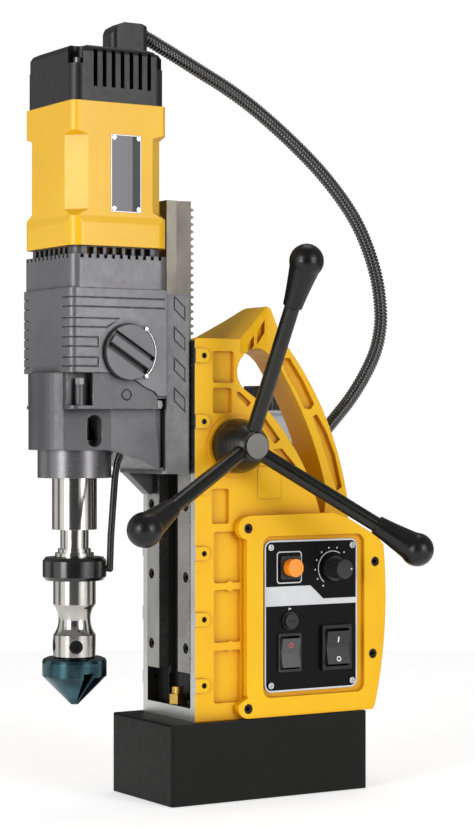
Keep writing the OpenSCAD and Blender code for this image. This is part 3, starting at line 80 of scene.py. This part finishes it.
# ------------------------------------------------------------------ conduit
# the route's points from the CAD source: x and z in millimetres, at y = 0
ROUTE = [(-104, 659.5), (-95, 656.8), (-81, 650.6), (-66, 644), (-41, 632.5), (-16, 621),
         (10, 607), (37, 589.5), (63, 570.5), (86, 551.5), (107.5, 530), (125, 508),
         (138.5, 483), (148, 456), (152, 430), (151.5, 411), (146, 390), (134, 368),
         (118.5, 347), (103.5, 331), (92, 319.5), (81, 309.6)]
ROUTE = [Vector((x / 1000, 0.0, z / 1000)) for x, z in ROUTE]
CONDUIT_R = 0.0062
CONDUIT_SIDES = 28
SPLINE_STEPS = 40       # between two points of the route
RIB = 0.0031            # from one rib to the next
RIB_DEPTHS = (0.0014, 0.0005, 0.0001, 0.0, 0.0001, 0.0005)      # below the crest, along one rib
RIB_STEPS = len(RIB_DEPTHS)


def smooth_route(points, step):
    """Catmull-Rom through the points, resampled at an even step, and its length."""
    dense = []
    ext = [points[0] * 2 - points[1]] + points + [points[-1] * 2 - points[-2]]
    for i in range(1, len(ext) - 2):
        a, b, c, d = ext[i - 1], ext[i], ext[i + 1], ext[i + 2]
        for k in range(SPLINE_STEPS):
            t = k / SPLINE_STEPS
            dense.append(0.5 * (2 * b + (c - a) * t + (2 * a - 5 * b + 4 * c - d) * t * t
                                + (3 * b - a - 3 * c + d) * t * t * t))
    dense.append(points[-1].copy())
    out, left = [dense[0].copy()], step
    for a, b in zip(dense, dense[1:]):
        seg = b - a
        length = seg.length
        done = 0.0
        while length - done >= left:
            done += left
            out.append(a + seg * (done / length))
            left = step
        left -= length - done
    out.append(dense[-1].copy())
    total = sum((b - a).length for a, b in zip(dense, dense[1:]))
    return out, total


def make_conduit():
    """A ribbed tube along the route, closed at both ends."""
    line, total = smooth_route(ROUTE, RIB / RIB_STEPS)
    last = len(line) - 1
    sides = CONDUIT_SIDES
    verts, faces = [], []
    for i, p in enumerate(line):
        d = (line[min(i + 1, last)] - line[max(i - 1, 0)]).normalized()
        n = Vector((-d.z, 0.0, d.x))
        r = CONDUIT_R - (max(RIB_DEPTHS) if i in (0, last) else RIB_DEPTHS[i % RIB_STEPS])
        for k in range(sides):
            a = 2 * math.pi * k / sides
            verts.append(p + n * (r * math.cos(a)) + Vector((0, r * math.sin(a), 0)))
    for i in range(last):
        for k in range(sides):
            b = (k + 1) % sides
            faces.append((i * sides + k, (i + 1) * sides + k, (i + 1) * sides + b, i * sides + b))
    faces.append(tuple(range(sides)))
    faces.append(tuple(last * sides + k for k in range(sides - 1, -1, -1)))
    mesh = bpy.data.meshes.new("conduit_corrugated")
    mesh.from_pydata([tuple(v) for v in verts], [], faces)
    mesh.update()
    for p in mesh.polygons:
        p.use_smooth = len(p.vertices) == 4
    obj = bpy.data.objects.new("conduit_corrugated", mesh)
    bpy.context.scene.collection.objects.link(obj)
    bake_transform(obj)
    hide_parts("conduit")
    return obj


conduit = make_conduit()


# ------------------------------------------------------------------ materials
def lin(rgb):
    """An sRGB colour of 0 to 255 as linear light, with alpha."""
    return tuple(((c / 255) / 12.92 if c / 255 <= 0.04045 else ((c / 255 + 0.055) / 1.055) ** 2.4)
                 for c in rgb) + (1.0,)


# what each ramp takes as its 0 and its 1; HOLLOW_RAMP's ambient occlusion places the painted
# shade in recesses
HOLLOW_RAMP = (0.95, 0.45)      # of ambient occlusion
EDGE_RAMP = (0.02, 0.25)        # of the angle between bevelled and true normal
PATCH_RAMP = (0.35, 0.7)        # of the noise that mixes a finish's two tones
ROUGH_RAMP = (0.3, 0.7)
WEAR_AND_HIGHLIGHT_RAMP = (0.42, 0.6)
DUST_RAMP = (0.5, 0.78)
ROUGH_SCALE = 160.0
WEAR_AND_HIGHLIGHT_SCALE = 140.0
DUST_SCALE = 420.0
DUST_TONE = (150, 148, 145)
PLAIN, FINE = 4.0, 5.0          # detail of a noise


class Graph:
    """A material's node tree, with short ways to add nodes."""

    def __init__(self, name):
        self.mat = bpy.data.materials.new(name)
        self.mat.use_nodes = True
        self.nt = self.mat.node_tree
        self.nt.nodes.clear()
        self.out = self.add("ShaderNodeOutputMaterial")
        self.bsdf = self.add("ShaderNodeBsdfPrincipled")
        self.link(self.bsdf.outputs[0], self.out.inputs["Surface"])
        self.co = self.add("ShaderNodeTexCoord").outputs["Object"]

    def add(self, kind, **props):
        node = self.nt.nodes.new(kind)
        for k, v in props.items():
            setattr(node, k, v)
        return node

    def link(self, a, b):
        self.nt.links.new(a, b)

    def put(self, socket, value):
        if isinstance(value, bpy.types.NodeSocket):
            self.link(value, socket)
        else:
            socket.default_value = value

    def noise(self, scale, detail, rough=0.55, stretch=None):
        src = self.co
        if stretch:
            m = self.add("ShaderNodeMapping")
            self.link(self.co, m.inputs["Vector"])
            m.inputs["Scale"].default_value = stretch
            src = m.outputs[0]
        n = self.add("ShaderNodeTexNoise")
        self.link(src, n.inputs["Vector"])
        n.inputs["Scale"].default_value = scale
        n.inputs["Detail"].default_value = detail
        n.inputs["Roughness"].default_value = rough
        return n.outputs["Fac"]

    def cells(self, scale):
        v = self.add("ShaderNodeTexVoronoi")
        self.link(self.co, v.inputs["Vector"])
        v.inputs["Scale"].default_value = scale
        return v.outputs["Distance"]

    def ramp(self, value, lo, hi, a=0.0, b=1.0):
        r = self.add("ShaderNodeMapRange")
        self.put(r.inputs["Value"], value)
        r.inputs["From Min"].default_value = lo
        r.inputs["From Max"].default_value = hi
        r.inputs["To Min"].default_value = a
        r.inputs["To Max"].default_value = b
        return r.outputs[0]

    def math(self, op, a, b=0.0):
        m = self.add("ShaderNodeMath", operation=op)
        self.put(m.inputs[0], a)
        self.put(m.inputs[1], b)
        return m.outputs[0]

    def mix(self, fac, a, b):
        m = self.add("ShaderNodeMix", data_type="RGBA")
        self.put(m.inputs[0], fac)
        self.put(m.inputs[6], a)
        self.put(m.inputs[7], b)
        return m.outputs[2]

    def bump(self, height, strength, distance, normal):
        b = self.add("ShaderNodeBump")
        b.inputs["Strength"].default_value = strength
        b.inputs["Distance"].default_value = distance
        self.link(height, b.inputs["Height"])
        self.link(normal, b.inputs["Normal"])
        return b.outputs[0]

    def bevel(self, radius):
        b = self.add("ShaderNodeBevel", samples=4)
        b.inputs["Radius"].default_value = radius
        return b.outputs[0]

    def hollow(self, reach):
        """Near 1 in corners and recesses, from ambient occlusion; it sets where shade is painted
        into the colour.
        """
        a = self.add("ShaderNodeAmbientOcclusion", samples=6)
        a.inputs["Distance"].default_value = reach
        return self.ramp(a.outputs["AO"], *HOLLOW_RAMP)

    def edge(self, bevelled):
        """Near 1 along sharp edges, from the bevelled and the true normal."""
        g = self.add("ShaderNodeNewGeometry")
        d = self.add("ShaderNodeVectorMath", operation="DOT_PRODUCT")
        self.link(bevelled, d.inputs[0])
        self.link(g.outputs["Normal"], d.inputs[1])
        return self.ramp(self.math("SUBTRACT", 1.0, d.outputs["Value"]), *EDGE_RAMP)

    def xyz(self):
        s = self.add("ShaderNodeSeparateXYZ")
        self.link(self.co, s.inputs[0])
        return s.outputs


def surface(name, tone, tone2, rough, vary, grain, metal=0.0, coarse=None, coat=0.0,
            coat_rough=0.15, bevel=0.0005, wear_and_highlight=None, spec=0.5, stretch=None, patch=22.0,
            dust=0.0, painted_shade=None):
    """A finish.

    tone, tone2: the two tones that it wanders between, in patches of scale patch
    rough, vary: roughness, and how far it wanders either way
    grain, coarse: fine noise and coarse cells in the surface: scale, strength, height
    bevel: radius that edges are shaded with
    wear_and_highlight: the tone along edges, and how much of it: worn paint on grey, black and
    steel, a painted edge highlight on yellow and teal
    dust: how much of DUST_TONE lies on it
    painted_shade: shade painted into recesses from ambient occlusion: its tone, how far it
    reaches, and how much of it
    stretch: scale along x, y and z, for brushed and turned metal
    """
    g = Graph(name)
    colour = g.mix(g.ramp(g.noise(patch, PLAIN), *PATCH_RAMP), lin(tone), lin(tone2))
    normal = g.bevel(bevel)
    rough_out = g.ramp(g.noise(ROUGH_SCALE, PLAIN, stretch=stretch), *ROUGH_RAMP,
                       rough - vary, rough + vary)
    # lighter patches along edges: worn paint on the grey, black and steel finishes, a painted
    # edge highlight on the yellow and teal ones
    if wear_and_highlight:
        edge_tone, amount = wear_and_highlight
        spots = g.ramp(g.noise(WEAR_AND_HIGHLIGHT_SCALE, FINE), *WEAR_AND_HIGHLIGHT_RAMP, 0.0, amount)
        colour = g.mix(g.math("MULTIPLY", g.edge(normal), spots), colour, lin(edge_tone))
    if dust:
        specks = g.ramp(g.noise(DUST_SCALE, FINE, 0.7), *DUST_RAMP, 0.0, dust)
        colour = g.mix(specks, colour, lin(DUST_TONE))
    # painted shade: the colour darkens towards the shade tone in corners and recesses
    if painted_shade:
        dark, reach, amount = painted_shade
        colour = g.mix(g.math("MULTIPLY", g.hollow(reach), amount), colour, lin(dark))
    scale, strength, height = grain
    normal = g.bump(g.noise(scale, PLAIN, 0.6, stretch=stretch), strength, height, normal)
    if coarse:
        scale, strength, height = coarse
        normal = g.bump(g.cells(scale), strength, height, normal)
    b = g.bsdf
    g.link(colour, b.inputs["Base Color"])
    g.link(rough_out, b.inputs["Roughness"])
    g.link(normal, b.inputs["Normal"])
    b.inputs["Metallic"].default_value = metal
    b.inputs["Specular IOR Level"].default_value = spec
    b.inputs["Coat Weight"].default_value = coat
    b.inputs["Coat Roughness"].default_value = coat_rough
    return g


# yellow paint: its pale edge tone is a painted highlight and its orange recess tone a painted
# shade
YELLOW = (231, 180, 12)
yellow_cast = surface("yellow_cast", YELLOW, (226, 168, 8), rough=0.4, vary=0.06,
                      grain=(520, 0.2, 0.00025), coarse=(260, 0.06, 0.0003), coat=0.05,
                      coat_rough=0.25, bevel=0.0011, spec=0.2, wear_and_highlight=((250, 214, 110), 0.55),
                      patch=14, painted_shade=((192, 118, 3), 0.018, 0.8))
yellow_shell = surface("yellow_shell", (228, 178, 24), (221, 169, 16), rough=0.3, vary=0.04,
                       spec=0.35, grain=(700, 0.08, 0.00012), coat=0.1, coat_rough=0.14,
                       bevel=0.0012, wear_and_highlight=((250, 214, 120), 0.4), patch=12,
                       painted_shade=((204, 126, 6), 0.012, 0.7))
# grey castings and plate: the near-black tone in recesses is a painted shade; the light edge tone
# is worn paint
grey_cast = surface("grey_cast", (106, 105, 107), (92, 91, 93), rough=0.38, vary=0.06, metal=0.45,
                    grain=(720, 0.34, 0.0003), coarse=(560, 0.16, 0.00025), bevel=0.0012,
                    wear_and_highlight=((196, 196, 198), 0.6), patch=18, painted_shade=((28, 28, 30), 0.007, 0.85))
# a darker copy of grey_cast for the lower gearcase: painted shade, with a deeper painted shade in
# its recesses
grey_cast_shaded = surface("grey_cast_shaded", (88, 87, 89), (74, 73, 75), rough=0.38, vary=0.06,
                        metal=0.5, grain=(720, 0.34, 0.0003), coarse=(560, 0.16, 0.00025),
                        bevel=0.0012, wear_and_highlight=((186, 186, 188), 0.6), patch=18,
                        painted_shade=((22, 22, 24), 0.009, 0.9))
grey_plate = surface("grey_plate", (112, 112, 114), (96, 96, 99), rough=0.46, vary=0.07,
                     metal=0.45, grain=(560, 0.5, 0.0004), coarse=(430, 0.3, 0.0004),
                     bevel=0.0008, wear_and_highlight=((176, 176, 178), 0.6), patch=18,
                     painted_shade=((28, 28, 30), 0.006, 0.85))
grey_smooth = surface("grey_smooth", (112, 111, 113), (98, 97, 99), rough=0.3, vary=0.05,
                      metal=0.7, grain=(400, 0.1, 0.0001), stretch=(1, 1, 9), bevel=0.0006,
                      wear_and_highlight=((190, 190, 190), 0.4))
black_base = surface("black_base", (13, 13, 12), (9, 9, 8), rough=0.44, vary=0.06, spec=0.15,
                     grain=(700, 0.16, 0.0002), coarse=(380, 0.05, 0.0002), bevel=0.0009,
                     wear_and_highlight=((96, 94, 92), 0.7))
black_enamel = surface("black_enamel", (29, 26, 24), (20, 19, 17), rough=0.3, vary=0.04,
                       spec=0.35, grain=(260, 0.03, 0.0001), coat=0.12, coat_rough=0.15,
                       bevel=0.0009)
black_plastic = surface("black_plastic", (22, 22, 23), (17, 17, 18), rough=0.4, vary=0.05,
                        spec=0.4, grain=(1300, 0.2, 0.00012), bevel=0.0006)
black_gloss = surface("black_gloss", (17, 17, 18), (13, 13, 14), rough=0.2, vary=0.04,
                      grain=(900, 0.05, 0.0001), coat=0.4, coat_rough=0.08, bevel=0.0006)
black_hollow = surface("black_hollow", (22, 21, 20), (12, 12, 12), rough=0.55, vary=0.08,
                       grain=(500, 0.2, 0.0002), bevel=0.0005)
rod_black = surface("rod_black", (25, 24, 23), (17, 16, 15), rough=0.28, vary=0.05, metal=0.5,
                    coat=0.2, grain=(500, 0.07, 0.0001), bevel=0.0004)
rubber_black = surface("rubber_black", (12, 12, 12), (8, 8, 8), rough=0.32, vary=0.05, spec=0.3,
                       coat=0.08, coat_rough=0.15, grain=(1000, 0.08, 0.0001), bevel=0.0008)
steel = surface("steel", (166, 163, 158), (138, 135, 130), rough=0.3, vary=0.08, metal=1.0,
                grain=(260, 0.25, 0.00012), stretch=(1, 1, 14), bevel=0.0004,
                wear_and_highlight=((225, 225, 222), 0.5))
steel_dark = surface("steel_dark", (112, 108, 102), (92, 89, 84), rough=0.36, vary=0.08,
                     metal=1.0, grain=(300, 0.3, 0.00012), stretch=(12, 12, 1), bevel=0.0003)
rail_steel = surface("rail_steel", (122, 117, 108), (98, 94, 87), rough=0.34, vary=0.07,
                     metal=0.9, grain=(300, 0.3, 0.00012), stretch=(12, 12, 1), bevel=0.0004,
                     wear_and_highlight=((196, 192, 186), 0.6))
steel_bright = surface("steel_bright", (186, 183, 178), (168, 165, 160), rough=0.15, vary=0.03,
                       metal=1.0, grain=(220, 0.07, 0.00004), stretch=(1, 1, 26), bevel=0.0005)
machined = surface("machined", (206, 206, 204), (186, 186, 184), rough=0.32, vary=0.08, metal=1.0,
                   grain=(320, 0.25, 0.0001), stretch=(1, 1, 12), bevel=0.0004)
screw_black = surface("screw_black", (34, 33, 33), (26, 26, 26), rough=0.34, vary=0.06, metal=0.8,
                      grain=(900, 0.2, 0.0001), bevel=0.0003, wear_and_highlight=((110, 108, 104), 0.5))
screw_bright = surface("screw_bright", (206, 206, 206), (170, 170, 172), rough=0.22, vary=0.05,
                       metal=1.0, grain=(800, 0.1, 0.00005), bevel=0.0003)
screw_dull = surface("screw_dull", (120, 120, 120), (92, 92, 93), rough=0.36, vary=0.06,
                     metal=0.8, grain=(800, 0.2, 0.0001), bevel=0.0004)
brass = surface("brass", (196, 160, 84), (160, 126, 60), rough=0.3, vary=0.07, metal=1.0,
                grain=(500, 0.2, 0.0001), bevel=0.0004)
copper = surface("copper", (150, 92, 60), (120, 72, 46), rough=0.4, vary=0.08, metal=0.6,
                 grain=(300, 0.5, 0.0004), stretch=(1, 1, 10), bevel=0.0003)
laminate = surface("laminate", (120, 116, 110), (94, 88, 80), rough=0.45, vary=0.08, metal=0.8,
                   grain=(900, 0.6, 0.0002), stretch=(0.05, 0.05, 3), bevel=0.0003)
board = surface("board", (24, 84, 48), (18, 66, 38), rough=0.35, vary=0.06,
                grain=(600, 0.2, 0.0001))
# the selector knob: the near-black tone in its grip recesses is a painted shadow
knob_grey = surface("knob_grey", (92, 91, 93), (82, 81, 83), rough=0.34, vary=0.05, metal=0.3,
                    grain=(1100, 0.14, 0.0001), bevel=0.0008, painted_shade=((14, 14, 15), 0.006, 0.9))
cap_grey = surface("cap_grey", (100, 98, 94), (86, 84, 81), rough=0.32, vary=0.05, metal=0.7,
                   grain=(420, 0.1, 0.0001), bevel=0.0006)
orange = surface("orange", (255, 150, 8), (250, 136, 0), rough=0.24, vary=0.04,
                 grain=(500, 0.05, 0.0001), coat=0.4, coat_rough=0.08, bevel=0.0008)
orange.bsdf.inputs["Subsurface Weight"].default_value = 0.15
orange.bsdf.inputs["Subsurface Radius"].default_value = (0.004, 0.002, 0.001)
bottle = surface("bottle", (212, 217, 228), (203, 208, 220), rough=0.34, vary=0.05,
                 grain=(300, 0.1, 0.0001), bevel=0.0006)
bottle.bsdf.inputs["Subsurface Weight"].default_value = 0.5
bottle.bsdf.inputs["Subsurface Radius"].default_value = (0.006, 0.006, 0.007)
print_white = surface("print_white", (206, 208, 210), (190, 192, 196), rough=0.4, vary=0.05,
                      grain=(1200, 0.1, 0.00005), bevel=0.0001)


def box_mask(g, x0, x1, z0, z1):
    """1 inside a rectangle of the x-z plane, 0 outside it."""
    x, _, z = g.xyz()
    m = None
    for c, lo, hi in ((x, x0, x1), (z, z0, z1)):
        for op, lim in (("GREATER_THAN", lo), ("LESS_THAN", hi)):
            t = g.math(op, c, lim)
            m = t if m is None else g.math("MULTIPLY", m, t)
    return m


def ring_mask(g, centre, inner, outer):
    """1 between two radii about a point (x, z), 0 elsewhere."""
    x, _, z = g.xyz()
    dx = g.math("SUBTRACT", x, centre[0])
    dz = g.math("SUBTRACT", z, centre[1])
    d = g.math("SQRT", g.math("ADD", g.math("MULTIPLY", dx, dx), g.math("MULTIPLY", dz, dz)))
    return g.math("MULTIPLY", g.math("GREATER_THAN", d, inner), g.math("LESS_THAN", d, outer))


def over(g, mask, rgb):
    """Paints a tone over a finish where the mask is 1."""
    src = g.bsdf.inputs["Base Color"].links[0].from_socket
    g.link(g.mix(mask, src, lin(rgb)), g.bsdf.inputs["Base Color"])


MARK_RED = (170, 60, 60)
MARK_WHITE = (225, 225, 225)
DOT_WHITE = (235, 235, 235)

# rocker of the motor switch: a red ring on its upper half
motor_rocker_mat = surface("motor_rocker_mat", (62, 62, 64), (54, 54, 56), rough=0.26, vary=0.04,
                           grain=(900, 0.1, 0.0001), coat=0.2, bevel=0.0008)
MOTOR_RING = (0.01975, 0.1308)
over(motor_rocker_mat, ring_mask(motor_rocker_mat, MOTOR_RING, 0.0014, 0.0024), MARK_RED)
# rocker of the magnet switch: a bar above and a ring below
magnet_rocker_mat = surface("magnet_rocker_mat", (24, 24, 25), (18, 18, 19), rough=0.4, vary=0.05,
                            grain=(900, 0.2, 0.0001), bevel=0.0008)
MAGNET_BAR = (0.0674, 0.0686, 0.1312, 0.1362)
MAGNET_RING = (0.068, 0.1167)
over(magnet_rocker_mat, box_mask(magnet_rocker_mat, *MAGNET_BAR), MARK_WHITE)
over(magnet_rocker_mat, ring_mask(magnet_rocker_mat, MAGNET_RING, 0.0014, 0.0023), MARK_WHITE)
# dial: a white dot at its edge
dial_mat = surface("dial_mat", (30, 30, 31), (24, 24, 25), rough=0.34, vary=0.05,
                   grain=(900, 0.2, 0.0001), bevel=0.0004)
DIAL_DOT = (0.0720, 0.1965)
over(dial_mat, ring_mask(dial_mat, DIAL_DOT, -1.0, 0.0008), DOT_WHITE)
# nameplate: brushed grey with a black right third and a light border, no text
plate_mat = surface("plate_mat", (214, 214, 216), (200, 200, 203), rough=0.34, vary=0.05,
                    metal=0.3, grain=(300, 0.2, 0.00008), stretch=(14, 1, 1), bevel=0.0002)
PLATE_LOW, PLATE_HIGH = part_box("nameplate")
PLATE_EDGE = 0.0007
PLATE_SPLIT = -0.1340
PLATE_GREY, PLATE_BLACK = (88, 88, 91), (22, 22, 24)
for start, tone in ((PLATE_LOW[0] + PLATE_EDGE, PLATE_GREY), (PLATE_SPLIT, PLATE_BLACK)):
    over(plate_mat, box_mask(plate_mat, start, PLATE_HIGH[0] - PLATE_EDGE,
                             PLATE_LOW[2] + PLATE_EDGE, PLATE_HIGH[2] - PLATE_EDGE), tone)

# the control panel's black face
film = surface("panel_film", (6, 6, 7), (4, 4, 5), rough=0.4, vary=0.06, spec=0.1,
               grain=(1500, 0.18, 0.0001), bevel=0.0002, patch=40)
# blue-black coated tool steel; its lighter teal edges are a painted highlight and its near-black
# recesses a painted shade
teal = surface("coated_teal", (62, 92, 100), (32, 52, 58), rough=0.2, vary=0.05, metal=1.0,
               grain=(260, 0.2, 0.00008), stretch=(1, 1, 10), bevel=0.0004,
               wear_and_highlight=((120, 170, 180), 0.6), patch=60, painted_shade=((8, 12, 14), 0.006, 0.9))

PAINT = {
    "magnet_core": black_base, "magnet_coil": copper, "base_bolts": screw_black,
    "stand_housing": yellow_cast, "guide_strips": steel, "strip_screws": screw_black,
    "gib_screws": screw_black, "stop_screw": brass, "pinion_bushes": brass,
    "control_door": yellow_cast, "door_screws": screw_black, "control_plate": film,
    "plate_screws": screw_bright, "control_board": board, "button_body": black_plastic,
    "reverse_button": orange, "speed_control": black_plastic, "speed_dial": dial_mat,
    "fuse_holder": black_plastic, "fuse_cap": black_plastic, "motor_switch": black_plastic,
    "motor_rocker": motor_rocker_mat, "magnet_switch": rubber_black,
    "magnet_rocker": magnet_rocker_mat, "coolant_bottle": bottle, "bottle_cap": black_plastic,
    "bottle_bracket": black_plastic, "conduit_gland": black_plastic,
    "carriage_plate": grey_plate, "gearcase_upper": grey_cast, "gearcase_lower": grey_cast_shaded,
    "nose_collar": grey_smooth, "motor_adapter": grey_cast, "motor_housing": yellow_shell,
    "motor_cap": black_plastic, "case_screws": screw_dull, "cable_cover": black_plastic,
    "nameplate": plate_mat, "nameplate_rivets": screw_bright, "slide_rail": rail_steel,
    "rail_screws": screw_black, "feed_rack": steel_dark, "selector_clip": screw_bright,
    "selector_knob": knob_grey, "coolant_pipe": rod_black, "coolant_ring": black_gloss,
    "stator": laminate, "bearings": steel, "armature": copper, "layshaft": steel,
    "spindle": steel_bright, "arbor": steel_bright, "arbor_screws": screw_black,
    "countersink": teal, "capstan_hub": black_enamel, "capstan_cap": cap_grey,
    "pinion_shaft": steel, "lever_rods": rod_black, "lever_grips": rubber_black,
}

for name, graph in PAINT.items():
    data = nodes[name].data
    data.materials.clear()
    data.materials.append(graph.mat)

conduit_mat = surface("conduit_mat", (16, 16, 16), (11, 11, 11), rough=0.18, vary=0.03, spec=0.7,
                      coat=0.6, grain=(900, 0.12, 0.0001), bevel=0.0002, dust=0.05)
conduit.data.materials.append(conduit_mat.mat)


def second_material(name, graph, test):
    """Gives the faces for which test(face) is true a second finish."""
    data = nodes[name].data
    data.materials.append(graph.mat)
    k = len(data.materials) - 1
    for f in data.polygons:
        if test(f):
            f.material_index = k


GUIDE_FACE_X = -0.0725
CHANNEL_X = (-0.0728, -0.018)
CHANNEL_HALF_WIDTH = 0.0375
CHANNEL_Z = (0.079, 0.396)
PRINT_Y = -0.04925
FLAT, NEARLY_FLAT = -0.99, -0.9     # a face's normal along -X or -Y

# the housing's guide face is machined bare, and its channel is painted black
second_material("stand_housing", machined,
                lambda f: f.normal.x < FLAT and f.center.x < GUIDE_FACE_X)
second_material("stand_housing", black_hollow,
                lambda f: CHANNEL_X[0] < f.center.x < CHANNEL_X[1]
                and abs(f.center.y) < CHANNEL_HALF_WIDTH
                and CHANNEL_Z[0] < f.center.z < CHANNEL_Z[1])
# the panel's raised marks are white
second_material("control_plate", print_white,
                lambda f: f.normal.y < NEARLY_FLAT and f.center.y < PRINT_Y)


SHARP_ANGLE = 32        # degrees between faces that still shade smoothly

for node in nodes.values():
    node.data.polygons.foreach_set("use_smooth", [True] * len(node.data.polygons))
    node.data.set_sharp_from_angle(angle=math.radians(SHARP_ANGLE))


# ------------------------------------------------------------------ stage and light
FLOOR_SIDES, FLOOR_RADIUS = 96, 1.25
FLOOR_DROP = 0.0005     # keeps it clear of the magnet's underside
FLOOR_GLOW = 0.5


def floor():
    """A white disc."""
    mesh = bpy.data.meshes.new("floor")
    n, r = FLOOR_SIDES, FLOOR_RADIUS
    mesh.from_pydata([(r * math.cos(2 * math.pi * k / n), r * math.sin(2 * math.pi * k / n), 0)
                      for k in range(n)], [], [tuple(range(n))])
    obj = bpy.data.objects.new("floor", mesh)
    bpy.context.scene.collection.objects.link(obj)
    obj.location.z = -FLOOR_DROP
    g = surface("floor_mat", (252, 252, 252), (250, 250, 250), rough=0.6, vary=0.05,
                grain=(60, 0.02, 0.0002), bevel=0.0001, patch=1.5)
    g.bsdf.inputs["Emission Color"].default_value = (1.0, 1.0, 1.0, 1.0)
    g.bsdf.inputs["Emission Strength"].default_value = FLOOR_GLOW
    obj.data.materials.append(g.mat)


def area_light(name, at, aim, width, height, power):
    data = bpy.data.lights.new(name, "AREA")
    data.shape = "RECTANGLE"
    data.size = width
    data.size_y = height
    data.energy = power
    obj = bpy.data.objects.new(name, data)
    bpy.context.scene.collection.objects.link(obj)
    obj.location = at
    obj.rotation_euler = (Vector(aim) - Vector(at)).to_track_quat("-Z", "Y").to_euler()


BACKDROP = 1.02         # brightness that the camera sees
CEILING = 0.3
CEILING_FROM, CEILING_TO = 0.28, 0.62       # height in the sky where the bands give way to it
BANDS_TURN = 0.3372 + 1.5       # in turns, with 0.5 on the camera's own bearing
BANDS_TOP = 1.5
# soft boxes and dark gaps round the horizon: place in turns, brightness
BANDS = [(0.0, 0.10), (0.12, 0.10), (0.16, 0.55), (0.18, 1.0), (0.235, 1.0), (0.255, 0.12),
         (0.275, 0.12), (0.30, 1.35), (0.405, 1.35), (0.435, 0.10), (0.565, 0.06), (0.60, 1.3),
         (0.70, 1.15), (0.725, 0.06), (0.755, 0.06), (0.775, 0.5), (0.81, 0.5), (0.84, 0.08),
         (0.88, 0.35), (1.0, 0.10)]


def world():
    """A white surround to look at, with the bands and a dim ceiling to reflect."""
    w = bpy.data.worlds.new("studio")
    bpy.context.scene.world = w
    w.use_nodes = True
    nt = w.node_tree
    nt.nodes.clear()

    def new(kind, **props):
        node = nt.nodes.new(kind)
        for k, v in props.items():
            setattr(node, k, v)
        return node

    def calc(op, a, b=0.0):
        m = new("ShaderNodeMath", operation=op)
        for socket, v in ((m.inputs[0], a), (m.inputs[1], b)):
            if isinstance(v, bpy.types.NodeSocket):
                nt.links.new(v, socket)
            else:
                socket.default_value = v
        return m.outputs[0]

    split = new("ShaderNodeSeparateXYZ")
    nt.links.new(new("ShaderNodeTexCoord").outputs["Generated"], split.inputs[0])
    turn = calc("ARCTAN2", split.outputs[1], split.outputs[0])
    turn = calc("FRACT", calc("ADD", calc("DIVIDE", turn, 2 * math.pi), BANDS_TURN))
    bands = new("ShaderNodeValToRGB")
    nt.links.new(turn, bands.inputs[0])
    el = bands.color_ramp.elements
    while len(el) < len(BANDS):
        el.new(0.5)
    for e, (place, bright) in zip(el, BANDS):
        e.position = place
        e.color = (bright / BANDS_TOP,) * 3 + (1.0,)
    up = new("ShaderNodeMapRange", interpolation_type="SMOOTHSTEP")
    nt.links.new(split.outputs[2], up.inputs["Value"])
    up.inputs["From Min"].default_value = CEILING_FROM
    up.inputs["From Max"].default_value = CEILING_TO
    side = calc("MULTIPLY", bands.outputs[0], BANDS_TOP)
    around = calc("ADD", calc("MULTIPLY", side, calc("SUBTRACT", 1.0, up.outputs[0])),
                  calc("MULTIPLY", up.outputs[0], CEILING))
    seen = new("ShaderNodeLightPath").outputs["Is Camera Ray"]
    level = calc("ADD", calc("MULTIPLY", around, calc("SUBTRACT", 1.0, seen)),
                 calc("MULTIPLY", seen, BACKDROP))
    bg = new("ShaderNodeBackground")
    nt.links.new(level, bg.inputs["Strength"])
    bg.inputs["Color"].default_value = (1.0, 1.0, 1.0, 1.0)
    nt.links.new(bg.outputs[0], new("ShaderNodeOutputWorld").inputs["Surface"])


bpy.context.scene.view_settings.view_transform = "Standard"
floor()
world()
area_light("left", (-2.5, -1.0, 0.75), (-0.05, 0, 0.35), width=0.9, height=1.5, power=33)
area_light("right", (0.7, -2.7, 0.85), (0, 0, 0.3), width=0.9, height=1.5, power=29)
area_light("top", (0.6, 0.5, 2.8), (0, 0, 0.3), width=1.2, height=1.2, power=8)
